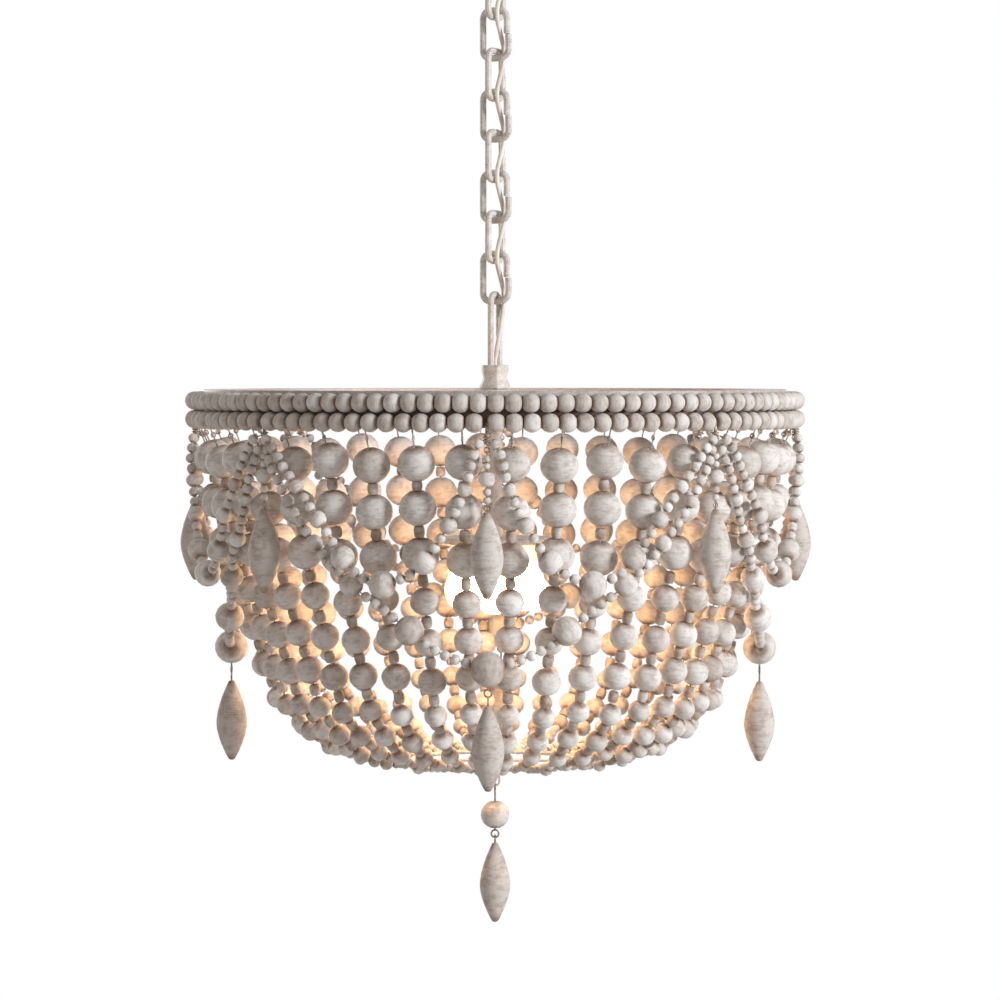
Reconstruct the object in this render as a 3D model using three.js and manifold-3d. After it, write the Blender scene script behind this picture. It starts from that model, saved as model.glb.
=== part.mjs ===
// Beaded chandelier: whitewashed wooden beads hung on an iron hoop, on a chain from a ceiling canopy.
// Units are millimetres, +Z is up, and the front faces -Y.
// The origin is the centre of the canopy's top face, where it meets the ceiling.
import * as THREE from 'three';
import Module from 'manifold-3d';

const wasm = await Module();
wasm.setup();

// Fits
const GAP = 0.3;
const SEAT_GAP = 0.45;

// Ceiling canopy and its loop
const CANOPY_RADIUS = 60;
const CANOPY_HEIGHT = 26;
const CANOPY_RIM = 5;
const CANOPY_WALL = 2;
const CANOPY_CROWN_RADIUS = 17;
const SHOULDER_RADIUS_SHARE = 0.8;
const SHOULDER_DROP_SHARE = 0.62;
const CROWN_SPREAD_SHARE = 1.6;
const DISH_INSET = 3;
const CROSSBAR_WIDTH = 22;
const BOSS_RADIUS = 5;
const BOSS_HEIGHT = 6.5;
const EYE_RADIUS = 9.5;

// Chain, its loop on the stem, and the supply lead woven through it
const LINK_COUNT = 8;
const LINK_WIRE = 6;
const LINK_LENGTH = 42.8;
const LINK_WIDTH = 24.6;
const LINK_CORNER = 7;
const CHAIN_TURN_DEG = -28;
const STEM_LOOP_LENGTH = 72.2;
const STEM_LOOP_WIDTH = 15;
const LEG_DEPTH = 8;
const LEAD_DIAMETER = 4.4;
const LEAD_OFFSET = 5.7;
const LEAD_ENTRY_SHARE = 0.4;
const LEAD_END_Z = -8;
const LEAD_BORE = 5.2;

// Six-sided waisted collar, hub and stem
const COLLAR_HEIGHT = 22;
const COLLAR_TURN_DEG = 10;
const COLLAR_TOP_RADIUS = 13.5;
const COLLAR_WAIST_RADIUS = 12;
const COLLAR_FOOT_RADIUS = 15;
const COLLAR_HEIGHT_SHARES = [[0, COLLAR_FOOT_RADIUS], [0.16, COLLAR_FOOT_RADIUS],
  [0.42, COLLAR_WAIST_RADIUS], [0.8, COLLAR_TOP_RADIUS], [1, COLLAR_TOP_RADIUS]];
const HUB_RADIUS = 15;
const HUB_HEIGHT = 9;
const ARM_WIDTH = 9;
const ARM_THICKNESS = 5;
const STEM_RADIUS = 6.5;

// Hoop and the two rows of rim beads
const HOOP_RADIUS = 263;
const HOOP_HEIGHT = 31;
const HOOP_THICKNESS = 3;
const HOOP_SIDES = 40;
const RIM_BEAD = 15.6;
const RIM_PITCH = 14.6;
const RIM_CLEARANCE = 0.8;
const RIM_STRING_RADIUS = HOOP_RADIUS + RIM_BEAD / 2 + RIM_CLEARANCE;
const UPPER_ROW_DROP = 10;
const LOWER_ROW_DROP = 26.6;
const RIM_NECK = 4;

// Strands: bays between anchors, and the beads of one strand from top to bottom
const BAY_COUNT = 8;
const STRANDS_PER_BAY = 5;
const STRAND_BEAD = 31.5;
const BOTTOM_RING_DROP = 337;
// Rows of a strand: shares of the largest bead, of the hoop's radius and of the bottom ring's drop
const STRAND_SHARES = [
  [1, 0.973, 0.181], [1, 0.954, 0.297], [1, 0.924, 0.415],
  [0.778, 0.878, 0.528], [0.778, 0.833, 0.629], [0.778, 0.791, 0.729],
  [0.619, 0.75, 0.823], [0.603, 0.667, 0.894], [0.495, 0.578, 0.947], [0.381, 0.472, 0.979],
];
const SPACER = 8.4;
const DROP_SCATTER = 2.2;
const SCATTER_STEP = 2.4;
const BOTTOM_RING_RADIUS = 76;
const BOTTOM_RING_WIRE = 4;
const BOTTOM_SPOKE = 3;
const BOTTOM_EYE_LENGTH = 23;
const BOTTOM_EYE_WIDTH = 8;

// Anchors below the lower row
const ANCHOR_DROP = 46;
const ANCHOR_RADIUS = 2.6;

// Garlands: the beads from an anchor to the lowest one, by name
const SMALL = 9.2;
const FINE = 12.4;
const MEDIUM = 15;
const FULL = 21;
const LARGE = 26;
const GARLAND_NECK = 3.6;
const SWAG_TAIL = [FINE, SMALL, SMALL, MEDIUM, SMALL, SMALL, FULL, SMALL, SMALL];
const SWAG_BARE_HALF = [SMALL, SMALL, SMALL, SMALL, ...SWAG_TAIL];
const SWAG_SHARED_HALF = [SMALL, SMALL, SMALL, SMALL, SMALL, ...SWAG_TAIL];
const SWAG_LOWEST = 24;
const LONG_HALF = [SMALL, SMALL, SMALL, SMALL, SMALL, FINE, SMALL, SMALL, SMALL, MEDIUM, SMALL, SMALL, SMALL,
  FULL, SMALL, SMALL, SMALL, SMALL, LARGE, SMALL, SMALL, SMALL, SMALL, SMALL];
const LONG_LOWEST = 30.4;
const LOWEST_BELT_SIDES = 8;

// Garland routes from an anchor to the lowest bead: shares of a bay's turn and of the garland's sag.
// A swag falls steeper from an anchor without long garlands than from one that it shares with two.
const SWAG_SAG = 162;
const SWAG_BARE_SHARES = [[0.022, 0.247], [0.052, 0.325], [0.072, 0.444], [0.098, 0.543], [0.142, 0.667],
  [0.178, 0.747], [0.267, 0.901], [0.344, 0.966], [0.429, 1]];
const SWAG_SHARED_SHARES = [[0.022, 0.238], [0.08, 0.309], [0.142, 0.42], [0.204, 0.519], [0.3, 0.679],
  [0.396, 0.864], [0.478, 0.963], [0.571, 1]];
const LONG_SAG = 234;
const LONG_SHARES = [[0.022, 0.197], [0.042, 0.248], [0.08, 0.308], [0.129, 0.393], [0.204, 0.5],
  [0.378, 0.679], [0.604, 0.833], [0.8, 0.949], [1, 1]];
const START_STAND_OFF = 0.8;
const SWAG_FLOOR_STAND_OFF = -6.6;
const LONG_FLOOR_STAND_OFF = -33.6;
const TAUT_PASSES = 5;
const ROUTE_STEPS = 400;
const SEAT_STEP = 0.25;

// Drops and spindles
const SPINDLE_LENGTH = 72;
const SPINDLE_DIAMETER = 28;
const SPINDLE_SHARES = [[0, 0.12], [0.14, 0.45], [0.34, 0.87], [0.54, 1], [0.76, 0.78], [1, 0.14]];
const EYE_WIRE = 2;
const EYE_CENTRE_RADIUS = 3.4;
const EYE_BENDS = 5;
const EYE_POINTS = 6;
const DROP_STAND_OFF = 0.4;
const DROP_RADIUS = RIM_STRING_RADIUS + DROP_STAND_OFF;
const DROP_TOP = ANCHOR_DROP + GAP;
const DROP_SPINDLE_TOP = 101;
const DROP_BEAD = 14.4;
// Beads of an upper drop: shares of its largest bead, and of the way from the anchor to the spindle
const DROP_BEAD_SHARES = [[0.458, 0.182], [0.458, 0.302], [1, 0.491], [0.514, 0.691], [0.458, 0.818]];
const LOWER_DROP_NECK = 7.55;
const BOTTOM_BEAD = 26;
const BOTTOM_BEAD_NECK = 9;
const BOTTOM_SPINDLE_NECK = 0.6;

// Lamps
const LAMP_PLATE_DROP = 134;
const LAMP_PLATE_EDGE = 2;
const LAMP_PLATE_RADIUS = 52;
const LAMP_PLATE_THICKNESS = 6;
const LAMP_COUNT = 3;
const LAMP_CIRCLE = 33;
const HOLDER_RADIUS = 13;
const HOLDER_HEIGHT = 16;
const BULB_RADIUS = 17.5;
const BULB_LENGTH = 45;
const BULB_SHARES = [[0, 0], [0.457, 0], [0.514, 0.111], [0.857, 0.378], [1, 0.622], [0.8, 0.844], [0, 1]];

// Heights that follow from the stack
const EYE_Z = -CANOPY_HEIGHT - BOSS_HEIGHT - EYE_RADIUS + LINK_WIRE / 2;
const EYE_FOOT_Z = EYE_Z - EYE_RADIUS;
const LINK_SEAT = LINK_WIRE + GAP;
const LINK_PITCH = LINK_LENGTH - LINK_SEAT;
const STEM_LOOP_TOP_Z = EYE_FOOT_Z - LINK_COUNT * LINK_PITCH + LINK_SEAT;
const COLLAR_TOP_Z = STEM_LOOP_TOP_Z - STEM_LOOP_LENGTH + LEG_DEPTH;
const HOOP_TOP_Z = Math.round(COLLAR_TOP_Z - COLLAR_HEIGHT);

const FULL_TURN = Math.PI * 2;
const UP = new THREE.Vector3(0, 0, 1);
const radians = (degrees) => THREE.MathUtils.degToRad(degrees);
const below = (drop) => HOOP_TOP_Z - drop;

// A point at an azimuth in degrees, counted from the front towards +X
function around(azimuth, radius, z) {
  const a = radians(azimuth);
  return new THREE.Vector3(radius * Math.sin(a), -radius * Math.cos(a), z);
}

const part = new THREE.Group();
part.name = 'beaded_chandelier';

function finish(color, roughness, metalness) {
  return new THREE.MeshStandardMaterial({ color, roughness, metalness });
}
const LIMED_WOOD = [0xcfc6ba, 0.85, 0];
const LIMED_IRON = [0xbdb2a4, 0.7, 0.3];
const WIRE_STEEL = [0x6b5f52, 0.5, 0.9];
const LEAD_SHEATH = [0xd9d0c6, 0.6, 0];
const LAMP_GLASS = [0xfff0d8, 0.2, 0];

function add(name, geometry, look) {
  const mesh = new THREE.Mesh(geometry, finish(...look));
  mesh.name = name;
  part.add(mesh);
}

// Solids as manifolds
function toManifold(geometry) {
  const merged = mergePoints(geometry);
  const mesh = new wasm.Mesh({ numProp: 3, vertProperties: merged.points, triVerts: merged.faces });
  return new wasm.Manifold(mesh);
}

function mergePoints(geometry) {
  const position = geometry.getAttribute('position');
  const index = geometry.index ? geometry.index.array : [...Array(position.count).keys()];
  const seen = new Map();
  const points = [];
  const remap = [];
  for (let i = 0; i < position.count; i += 1) {
    const key = [position.getX(i), position.getY(i), position.getZ(i)].map((v) => Math.round(v * 1e4)).join();
    if (!seen.has(key)) {
      seen.set(key, points.length / 3);
      points.push(position.getX(i), position.getY(i), position.getZ(i));
    }
    remap.push(seen.get(key));
  }
  const faces = [];
  for (let i = 0; i < index.length; i += 3) {
    const [a, b, c] = [remap[index[i]], remap[index[i + 1]], remap[index[i + 2]]];
    if (a !== b && b !== c && a !== c) faces.push(a, b, c);
  }
  return { points: new Float32Array(points), faces: new Uint32Array(faces) };
}

function toGeometry(manifold) {
  const mesh = manifold.getMesh();
  const geometry = new THREE.BufferGeometry();
  const points = new Float32Array(mesh.numVert * 3);
  for (let i = 0; i < mesh.numVert; i += 1) {
    points.set(mesh.vertProperties.subarray(i * mesh.numProp, i * mesh.numProp + 3), i * 3);
  }
  geometry.setAttribute('position', new THREE.BufferAttribute(points, 3));
  geometry.setIndex([...mesh.triVerts]);
  return geometry;
}

function fuse(solids) {
  return toGeometry(wasm.Manifold.union(solids.map(toManifold)));
}

function cut(solid, tools) {
  return toGeometry(tools.reduce((body, tool) => body.subtract(toManifold(tool)), toManifold(solid)));
}

// A body turned about a vertical axis from [radius, z] pairs
function turned(profile, sides, x, y, z) {
  const points = profile.map(([r, h]) => new THREE.Vector2(r, h));
  const geometry = new THREE.LatheGeometry(points, sides);
  geometry.rotateX(Math.PI / 2);
  geometry.translate(x, y, z);
  return outward(geometry);
}

function outward(geometry) {
  const { points, faces } = mergePoints(geometry);
  const [a, b, c] = [new THREE.Vector3(), new THREE.Vector3(), new THREE.Vector3()];
  let volume = 0;
  for (let i = 0; i < faces.length; i += 3) {
    a.fromArray(points, faces[i] * 3);
    b.fromArray(points, faces[i + 1] * 3);
    c.fromArray(points, faces[i + 2] * 3);
    volume += a.dot(b.cross(c));
  }
  if (volume < 0) {
    for (let i = 0; i < faces.length; i += 3) {
      [faces[i], faces[i + 1]] = [faces[i + 1], faces[i]];
    }
  }
  const solid = new THREE.BufferGeometry();
  solid.setAttribute('position', new THREE.BufferAttribute(points, 3));
  solid.setIndex([...faces]);
  return solid;
}

// Rings of points joined one to the next, open with caps or closed on themselves
function joined(rings, closed) {
  const points = [];
  const faces = [];
  const starts = [];
  for (const ring of rings) {
    starts.push(points.length / 3);
    for (const p of ring) points.push(p.x, p.y, p.z);
  }
  const bridge = (a, b) => {
    const [n, m] = [rings[a].length, rings[b].length];
    let [i, j] = [0, 0];
    while (i < n || j < m) {
      const p = starts[a] + (i % n);
      const q = starts[b] + (j % m);
      if (j >= m || (i < n && (i + 1) / n <= (j + 1) / m)) {
        faces.push(p, q, starts[a] + ((i + 1) % n));
        i += 1;
      } else {
        faces.push(p, q, starts[b] + ((j + 1) % m));
        j += 1;
      }
    }
  };
  for (let k = 0; k + 1 < rings.length; k += 1) bridge(k, k + 1);
  const last = rings.length - 1;
  if (closed) {
    bridge(last, 0);
  } else {
    for (let i = 1; i + 1 < rings[0].length; i += 1) faces.push(starts[0], starts[0] + i, starts[0] + i + 1);
    for (let i = 1; i + 1 < rings[last].length; i += 1) {
      faces.push(starts[last], starts[last] + i + 1, starts[last] + i);
    }
  }
  const geometry = new THREE.BufferGeometry();
  geometry.setAttribute('position', new THREE.BufferAttribute(new Float32Array(points), 3));
  geometry.setIndex(faces);
  return outward(geometry);
}

function ringAt(centre, along, side, radius, sides) {
  const u = side.clone().addScaledVector(along, -side.dot(along)).normalize();
  const v = along.clone().cross(u).normalize();
  const ring = [];
  for (let i = 0; i < sides; i += 1) {
    const a = (i / sides) * FULL_TURN;
    const point = centre.clone().addScaledVector(u, radius * Math.cos(a));
    ring.push(point.addScaledVector(v, radius * Math.sin(a)));
  }
  return ring;
}

// Sides of a bead's belt by its size, and of the neck between two beads
const NECK_SIDES = 3;
const beltSides = (diameter) => (diameter > 25 ? 5 : 4);

// A string of { centre, diameter } beads on a wire; an open one has a start and an end point
function beadString(beads, neck, sideOf, ends) {
  const rings = [];
  const count = beads.length;
  const closed = !ends;
  const neckRing = (at, along) => rings.push(ringAt(at, along, sideOf(at), neck / 2, NECK_SIDES));
  const tip = (from, bead) => {
    const along = bead.centre.clone().sub(from).normalize();
    const reach = bead.diameter / 2 + GAP;
    const seat = bead.centre.clone().addScaledVector(along, -reach);
    return { along, seat, far: from.distanceTo(bead.centre) > reach + neck };
  };
  if (!closed) {
    const first = tip(ends[0], beads[0]);
    neckRing(ends[0], first.along);
    if (first.far) neckRing(first.seat, first.along);
  }
  beads.forEach((bead, k) => {
    const previous = beads[k - 1] ?? (closed ? beads[count - 1] : null);
    const next = beads[k + 1] ?? (closed ? beads[0] : null);
    const from = previous ? previous.centre : ends[0];
    const to = next ? next.centre : ends[1];
    const along = to.clone().sub(from).normalize();
    if (previous) {
      const between = bead.centre.clone().sub(from).normalize();
      neckRing(from.clone().add(bead.centre).addScaledVector(between, (previous.diameter - bead.diameter) / 2)
        .multiplyScalar(0.5), between);
    }
    const sides = bead.belt ?? beltSides(bead.diameter);
    rings.push(ringAt(bead.centre, along, sideOf(bead.centre), bead.diameter / 2, sides));
  });
  if (!closed) {
    neckRing(ends[1], tip(ends[1], beads[count - 1]).along.negate());
  }
  return joined(rings, closed);
}

// A bent round wire through points, closed or open
function wire(points, diameter, sides, closed, sideOf) {
  const rings = points.map((p, k) => {
    const previous = points[k - 1] ?? (closed ? points[points.length - 1] : p);
    const next = points[k + 1] ?? (closed ? points[0] : p);
    return ringAt(p, next.clone().sub(previous).normalize(), sideOf(p), diameter / 2, sides);
  });
  return joined(rings, closed);
}

// An oval in a vertical plane: length and width are of the wire's centre line
function oval(centre, heading, length, width, bends) {
  const points = [];
  const arc = width / 2;
  const straight = (length - width) / 2;
  for (let k = 0; k < bends * 2; k += 1) {
    const top = k < bends;
    const a = ((top ? k : k - bends) / (bends - 1)) * Math.PI + (top ? 0 : Math.PI);
    const across = arc * Math.cos(a);
    const rise = arc * Math.sin(a) + (top ? straight : -straight);
    points.push(centre.clone().addScaledVector(heading, across).addScaledVector(UP, rise));
  }
  return points;
}

const heading = (degrees) => new THREE.Vector3(Math.cos(radians(degrees)), Math.sin(radians(degrees)), 0);
const WIDE_LINK = heading(CHAIN_TURN_DEG);
const NARROW_LINK = heading(CHAIN_TURN_DEG + 90);
const linkHeading = (k) => (k % 2 === 0 ? WIDE_LINK : NARROW_LINK);
const crossing = (k) => (k % 2 === 0 ? NARROW_LINK : WIDE_LINK);
const CHAIN_WIRE_SIDES = 5;
const CANOPY_SIDES = 16;
const BOSS_SIDES = 12;
const EYE_RING_BENDS = 7;
const LINK_BENDS = 3;
const LOOP_BENDS = 5;
const HOLE_SIDES = 8;
const FINE_WIRE_SIDES = 4;
const SPINDLE_SIDES = 6;
const HUB_SIDES = 10;
const COLLAR_SIDES = 6;
const LEAD_SIDES = 8;
const PLATE_SIDES = 16;
const BULB_SIDES = 8;
const BOTTOM_RING_SIDES = 16;

function buildCanopy() {
  const crown = CANOPY_HEIGHT - CANOPY_WALL;
  const shoulder = CANOPY_RADIUS * SHOULDER_RADIUS_SHARE;
  const shoulderZ = -crown * SHOULDER_DROP_SHARE;
  const spread = CANOPY_CROWN_RADIUS * CROWN_SPREAD_SHARE;
  const outer = [[0, 0], [CANOPY_RADIUS, 0], [CANOPY_RADIUS, -CANOPY_RIM], [shoulder, shoulderZ],
    [spread, -crown], [CANOPY_CROWN_RADIUS, -CANOPY_HEIGHT], [0, -CANOPY_HEIGHT]];
  const body = turned(outer, CANOPY_SIDES, 0, 0, 0);
  const mouth = CANOPY_RADIUS - DISH_INSET;
  const opening = [[0, CANOPY_WALL], [mouth, CANOPY_WALL], [mouth, -CANOPY_RIM],
    [shoulder - DISH_INSET, shoulderZ + CANOPY_WALL], [spread - DISH_INSET, CANOPY_WALL - crown],
    [0, CANOPY_WALL - crown]];
  const lead = leadCorner(0);
  const leadHole = drill(lead.x, lead.y, LEAD_DIAMETER / 2 + GAP, CANOPY_WALL, -CANOPY_HEIGHT * 2);
  const shell = cut(body, [turned(opening, CANOPY_SIDES, 0, 0, 0), leadHole]);
  const crossbar = new THREE.BoxGeometry(CANOPY_RADIUS * 2 - DISH_INSET, CROSSBAR_WIDTH, CANOPY_WALL);
  crossbar.translate(0, 0, -CANOPY_WALL / 2);
  add('ceiling_canopy', fuse([shell, crossbar]), LIMED_IRON);

  const boss = turned([[0, 0], [BOSS_RADIUS, 0], [BOSS_RADIUS, GAP - BOSS_HEIGHT], [0, GAP - BOSS_HEIGHT]],
    BOSS_SIDES, 0, 0, -CANOPY_HEIGHT - GAP);
  const eye = wire(oval(around(0, 0, EYE_Z), linkHeading(0), EYE_RADIUS * 2, EYE_RADIUS * 2,
    EYE_RING_BENDS),
    LINK_WIRE, CHAIN_WIRE_SIDES, true, () => crossing(0));
  add('canopy_loop', fuse([boss, eye]), LIMED_IRON);
}

// Corners that the lead passes: in front of a wide link's top and behind its foot
function leadCorner(k) {
  const turn = CHAIN_TURN_DEG + (k % 2 === 0 ? 45 : -45);
  return heading(turn).multiplyScalar(LEAD_OFFSET * Math.SQRT2);
}

const linkTop = (k) => EYE_FOOT_Z - k * LINK_PITCH + LINK_SEAT;

// A link's centre line: an oblong with rounded corners in a vertical plane
function oblong(centre, heading) {
  const points = [];
  const flat = LINK_WIDTH / 2 - LINK_CORNER;
  const straight = LINK_LENGTH / 2 - LINK_CORNER;
  const quarters = [[1, 1], [-1, 1], [-1, -1], [1, -1]];
  quarters.forEach(([side, up], quarter) => {
    for (let k = 0; k < LINK_BENDS; k += 1) {
      const a = ((quarter + k / (LINK_BENDS - 1)) * Math.PI) / 2;
      const across = side * flat + LINK_CORNER * Math.cos(a);
      const rise = up * straight + LINK_CORNER * Math.sin(a);
      points.push(centre.clone().addScaledVector(heading, across).addScaledVector(UP, rise));
    }
  });
  return points;
}

function buildChain() {
  for (let k = 0; k < LINK_COUNT; k += 1) {
    const centre = around(0, 0, linkTop(k) - LINK_LENGTH / 2);
    const points = oblong(centre, linkHeading(k + 1));
    const link = wire(points, LINK_WIRE, CHAIN_WIRE_SIDES, true, () => crossing(k + 1));
    add(`chain_link_${k + 1}`, link, LIMED_IRON);
  }
  const crown = linkTop(LINK_COUNT);
  const reach = NARROW_LINK.clone().multiplyScalar(STEM_LOOP_WIDTH / 2);
  const bend = oval(around(0, 0, crown - STEM_LOOP_WIDTH / 2), linkHeading(LINK_COUNT + 1),
    STEM_LOOP_WIDTH, STEM_LOOP_WIDTH, LOOP_BENDS).slice(0, LOOP_BENDS);
  const footZ = COLLAR_TOP_Z - LEG_DEPTH;
  const feet = [reach, reach.clone().negate()].map((leg) => leg.clone().setZ(footZ));
  const path = [feet[0], ...bend, feet[1]];
  const loop = wire(path, LINK_WIRE, CHAIN_WIRE_SIDES, false, () => crossing(LINK_COUNT + 1));
  add('stem_loop', loop, LIMED_IRON);
  return feet;
}

// A round hole's tool, from one height down to another
function drill(x, y, radius, fromZ, toZ) {
  return turned([[0, 0], [radius, 0], [radius, toZ - fromZ], [0, toZ - fromZ]], HOLE_SIDES, x, y, fromZ);
}

function buildStem(feet) {
  const bore = LEAD_BORE / 2;
  const collarProfile = COLLAR_HEIGHT_SHARES.map(([share, radius]) => [radius, share * COLLAR_HEIGHT]);
  const collar = turned([[0, 0], ...collarProfile, [0, COLLAR_HEIGHT]], COLLAR_SIDES, 0, 0, HOOP_TOP_Z);
  collar.rotateZ(radians(COLLAR_TURN_DEG));
  const collarTop = HOOP_TOP_Z + COLLAR_HEIGHT;
  const legHole = LINK_WIRE / 2 + GAP * 2;
  const legHoles = feet.map((leg) => drill(leg.x, leg.y, legHole, collarTop + GAP, leg.z - GAP));
  const leadHole = drill(0, 0, bore, collarTop + GAP, HOOP_TOP_Z - GAP);
  add('loop_collar', cut(collar, [leadHole, ...legHoles]), LIMED_IRON);

  const hubTop = HOOP_TOP_Z - GAP;
  const hubFoot = hubTop - HUB_HEIGHT;
  const hubProfile = [[0, 0], [HUB_RADIUS, 0], [HUB_RADIUS, -HUB_HEIGHT], [0, -HUB_HEIGHT]];
  const hub = turned(hubProfile, HUB_SIDES, 0, 0, hubTop);
  const innerFlat = (HOOP_RADIUS - HOOP_THICKNESS) * Math.cos(Math.PI / HOOP_SIDES);
  const armSpan = (innerFlat - GAP) * 2;
  const arms = [0, 90].map((turn) => {
    const bar = new THREE.BoxGeometry(armSpan, ARM_WIDTH, ARM_THICKNESS);
    bar.rotateZ(radians(turn + 180 / HOOP_SIDES));
    bar.translate(0, 0, hubTop - HUB_HEIGHT / 2);
    return bar;
  });
  const spider = cut(fuse([hub, ...arms]), [drill(0, 0, bore, hubTop + GAP, hubFoot - GAP)]);
  add('spider', spider, LIMED_IRON);

  const stemTop = hubFoot - GAP;
  const stemFoot = below(LAMP_PLATE_DROP) + GAP;
  const stem = turned([[0, 0], [STEM_RADIUS, 0], [STEM_RADIUS, stemFoot - stemTop], [0, stemFoot - stemTop]],
    HUB_SIDES, 0, 0, stemTop);
  add('stem', cut(stem, [drill(0, 0, bore, stemTop + GAP, stemFoot - GAP)]), LIMED_IRON);
}

function buildLead() {
  const points = [leadCorner(0).setZ(LEAD_END_Z)];
  for (let k = 0; k <= LINK_COUNT; k += 1) {
    const middle = EYE_FOOT_Z - k * LINK_PITCH + LINK_SEAT / 2;
    const straight = (LINK_SEAT + LINK_WIRE) / 2;
    points.push(leadCorner(k).setZ(middle + straight), leadCorner(k).setZ(middle - straight));
  }
  const entryZ = STEM_LOOP_TOP_Z - STEM_LOOP_LENGTH * LEAD_ENTRY_SHARE;
  points.push(WIDE_LINK.clone().multiplyScalar(LEAD_OFFSET).setZ(entryZ));
  points.push(new THREE.Vector3(0, 0, HOOP_TOP_Z + COLLAR_HEIGHT + LEAD_DIAMETER));
  points.push(new THREE.Vector3(0, 0, below(LAMP_PLATE_DROP) + GAP * 4));
  add('supply_lead', wire(points, LEAD_DIAMETER, LEAD_SIDES, false, () => WIDE_LINK), LEAD_SHEATH);
}

const azimuthSide = (p) => new THREE.Vector3(p.x, p.y, 0).normalize();
const BAY_DEG = 360 / BAY_COUNT;

function rimBeads(from, to, drop, closed) {
  const arc = radians(to - from) * RIM_STRING_RADIUS;
  const count = closed ? Math.round(arc / RIM_PITCH) : Math.floor(arc / RIM_PITCH);
  return Array.from({ length: count }, (_, k) => ({
    centre: around(from + ((k + 0.5) / count) * (to - from), RIM_STRING_RADIUS, below(drop)),
    diameter: RIM_BEAD,
  }));
}

function buildHoop() {
  const inner = HOOP_RADIUS - HOOP_THICKNESS;
  const band = [[inner, 0], [HOOP_RADIUS, 0], [HOOP_RADIUS, -HOOP_HEIGHT], [inner, -HOOP_HEIGHT], [inner, 0]];
  add('hoop', turned(band, HOOP_SIDES, 0, 0, HOOP_TOP_Z), LIMED_IRON);
  const upperRow = rimBeads(0, 360, UPPER_ROW_DROP, true);
  add('rim_beads_upper', beadString(upperRow, RIM_NECK, azimuthSide), LIMED_WOOD);
}

function strandBeads(azimuth, number) {
  return STRAND_SHARES.map(([size, reach, sink], row) => {
    const scatter = DROP_SCATTER * Math.sin(number * SCATTER_STEP + row);
    const z = below(sink * BOTTOM_RING_DROP + scatter);
    return { centre: around(azimuth, reach * HOOP_RADIUS, z), diameter: size * STRAND_BEAD };
  });
}

// Each panel is one bay: its share of the lower rim row, its anchor and its strands
function buildPanels() {
  const all = [];
  for (let bay = 0; bay < BAY_COUNT; bay += 1) {
    const from = bay * BAY_DEG;
    const margin = THREE.MathUtils.radToDeg((ANCHOR_RADIUS + GAP * 2) / RIM_STRING_RADIUS);
    const row = rimBeads(from, from + BAY_DEG - margin, LOWER_ROW_DROP, false);
    const rowZ = below(LOWER_ROW_DROP);
    const ends = [from, from + BAY_DEG - margin].map((a) => around(a, RIM_STRING_RADIUS, rowZ));
    const solids = [beadString(row, RIM_NECK, azimuthSide, ends)];
    const post = around(from, RIM_STRING_RADIUS, 0);
    solids.push(drill(post.x, post.y, ANCHOR_RADIUS, below(LOWER_ROW_DROP), below(ANCHOR_DROP)));
    for (let k = 0; k < STRANDS_PER_BAY; k += 1) {
      const azimuth = from + ((k + 0.5) / STRANDS_PER_BAY) * BAY_DEG;
      const beads = strandBeads(azimuth, bay * STRANDS_PER_BAY + k);
      all.push(...beads);
      const top = around(azimuth, RIM_STRING_RADIUS, below(LOWER_ROW_DROP));
      const footRadius = BOTTOM_RING_RADIUS + BOTTOM_RING_WIRE / 2 + SEAT_GAP;
      const foot = around(azimuth, footRadius, below(BOTTOM_RING_DROP));
      const across = around(azimuth + 90, 1, 0);
      solids.push(beadString(beads, SPACER, () => across, [top, foot]));
    }
    add(`bead_panel_${bay + 1}`, fuse(solids), LIMED_WOOD);
  }
  return all;
}

function buildBottomRing() {
  const z = below(BOTTOM_RING_DROP);
  const ringPoints = Array.from({ length: BOTTOM_RING_SIDES }, (_, k) =>
    around((k * 360) / BOTTOM_RING_SIDES, BOTTOM_RING_RADIUS, z));
  const ring = wire(ringPoints, BOTTOM_RING_WIRE, FINE_WIRE_SIDES, true, () => UP);
  const spokes = [0, 90].map((turn) => {
    const bar = new THREE.BoxGeometry(BOTTOM_RING_RADIUS * 2, BOTTOM_SPOKE, BOTTOM_SPOKE);
    bar.rotateZ(radians(turn));
    bar.translate(0, 0, z);
    return bar;
  });
  const eyeCentre = around(0, 0, z - BOTTOM_EYE_LENGTH / 2);
  const eyePath = oval(eyeCentre, heading(0), BOTTOM_EYE_LENGTH, BOTTOM_EYE_WIDTH, EYE_BENDS);
  const eye = wire(eyePath, EYE_WIRE, FINE_WIRE_SIDES, true, () => heading(90));
  add('bottom_ring', fuse([ring, ...spokes, eye]), WIRE_STEEL);
}

// Garlands hang on the strands: a bead is moved outward until it clears what lies behind it
function seated(azimuth, drop, diameter, floor, obstacles) {
  const reach = STRAND_BEAD + LONG_LOWEST;
  const near = obstacles.filter((o) => o.centre.distanceTo(around(azimuth, floor, below(drop))) < reach);
  for (let out = 0; out < reach / 2; out += SEAT_STEP) {
    const centre = around(azimuth, floor + out, below(drop));
    const clear = near.every((o) => o.centre.distanceTo(centre) > (o.diameter + diameter) / 2 + SEAT_GAP);
    if (clear) return { centre, diameter, radius: floor + out };
  }
  throw new Error('a garland bead finds no seat');
}

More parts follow.
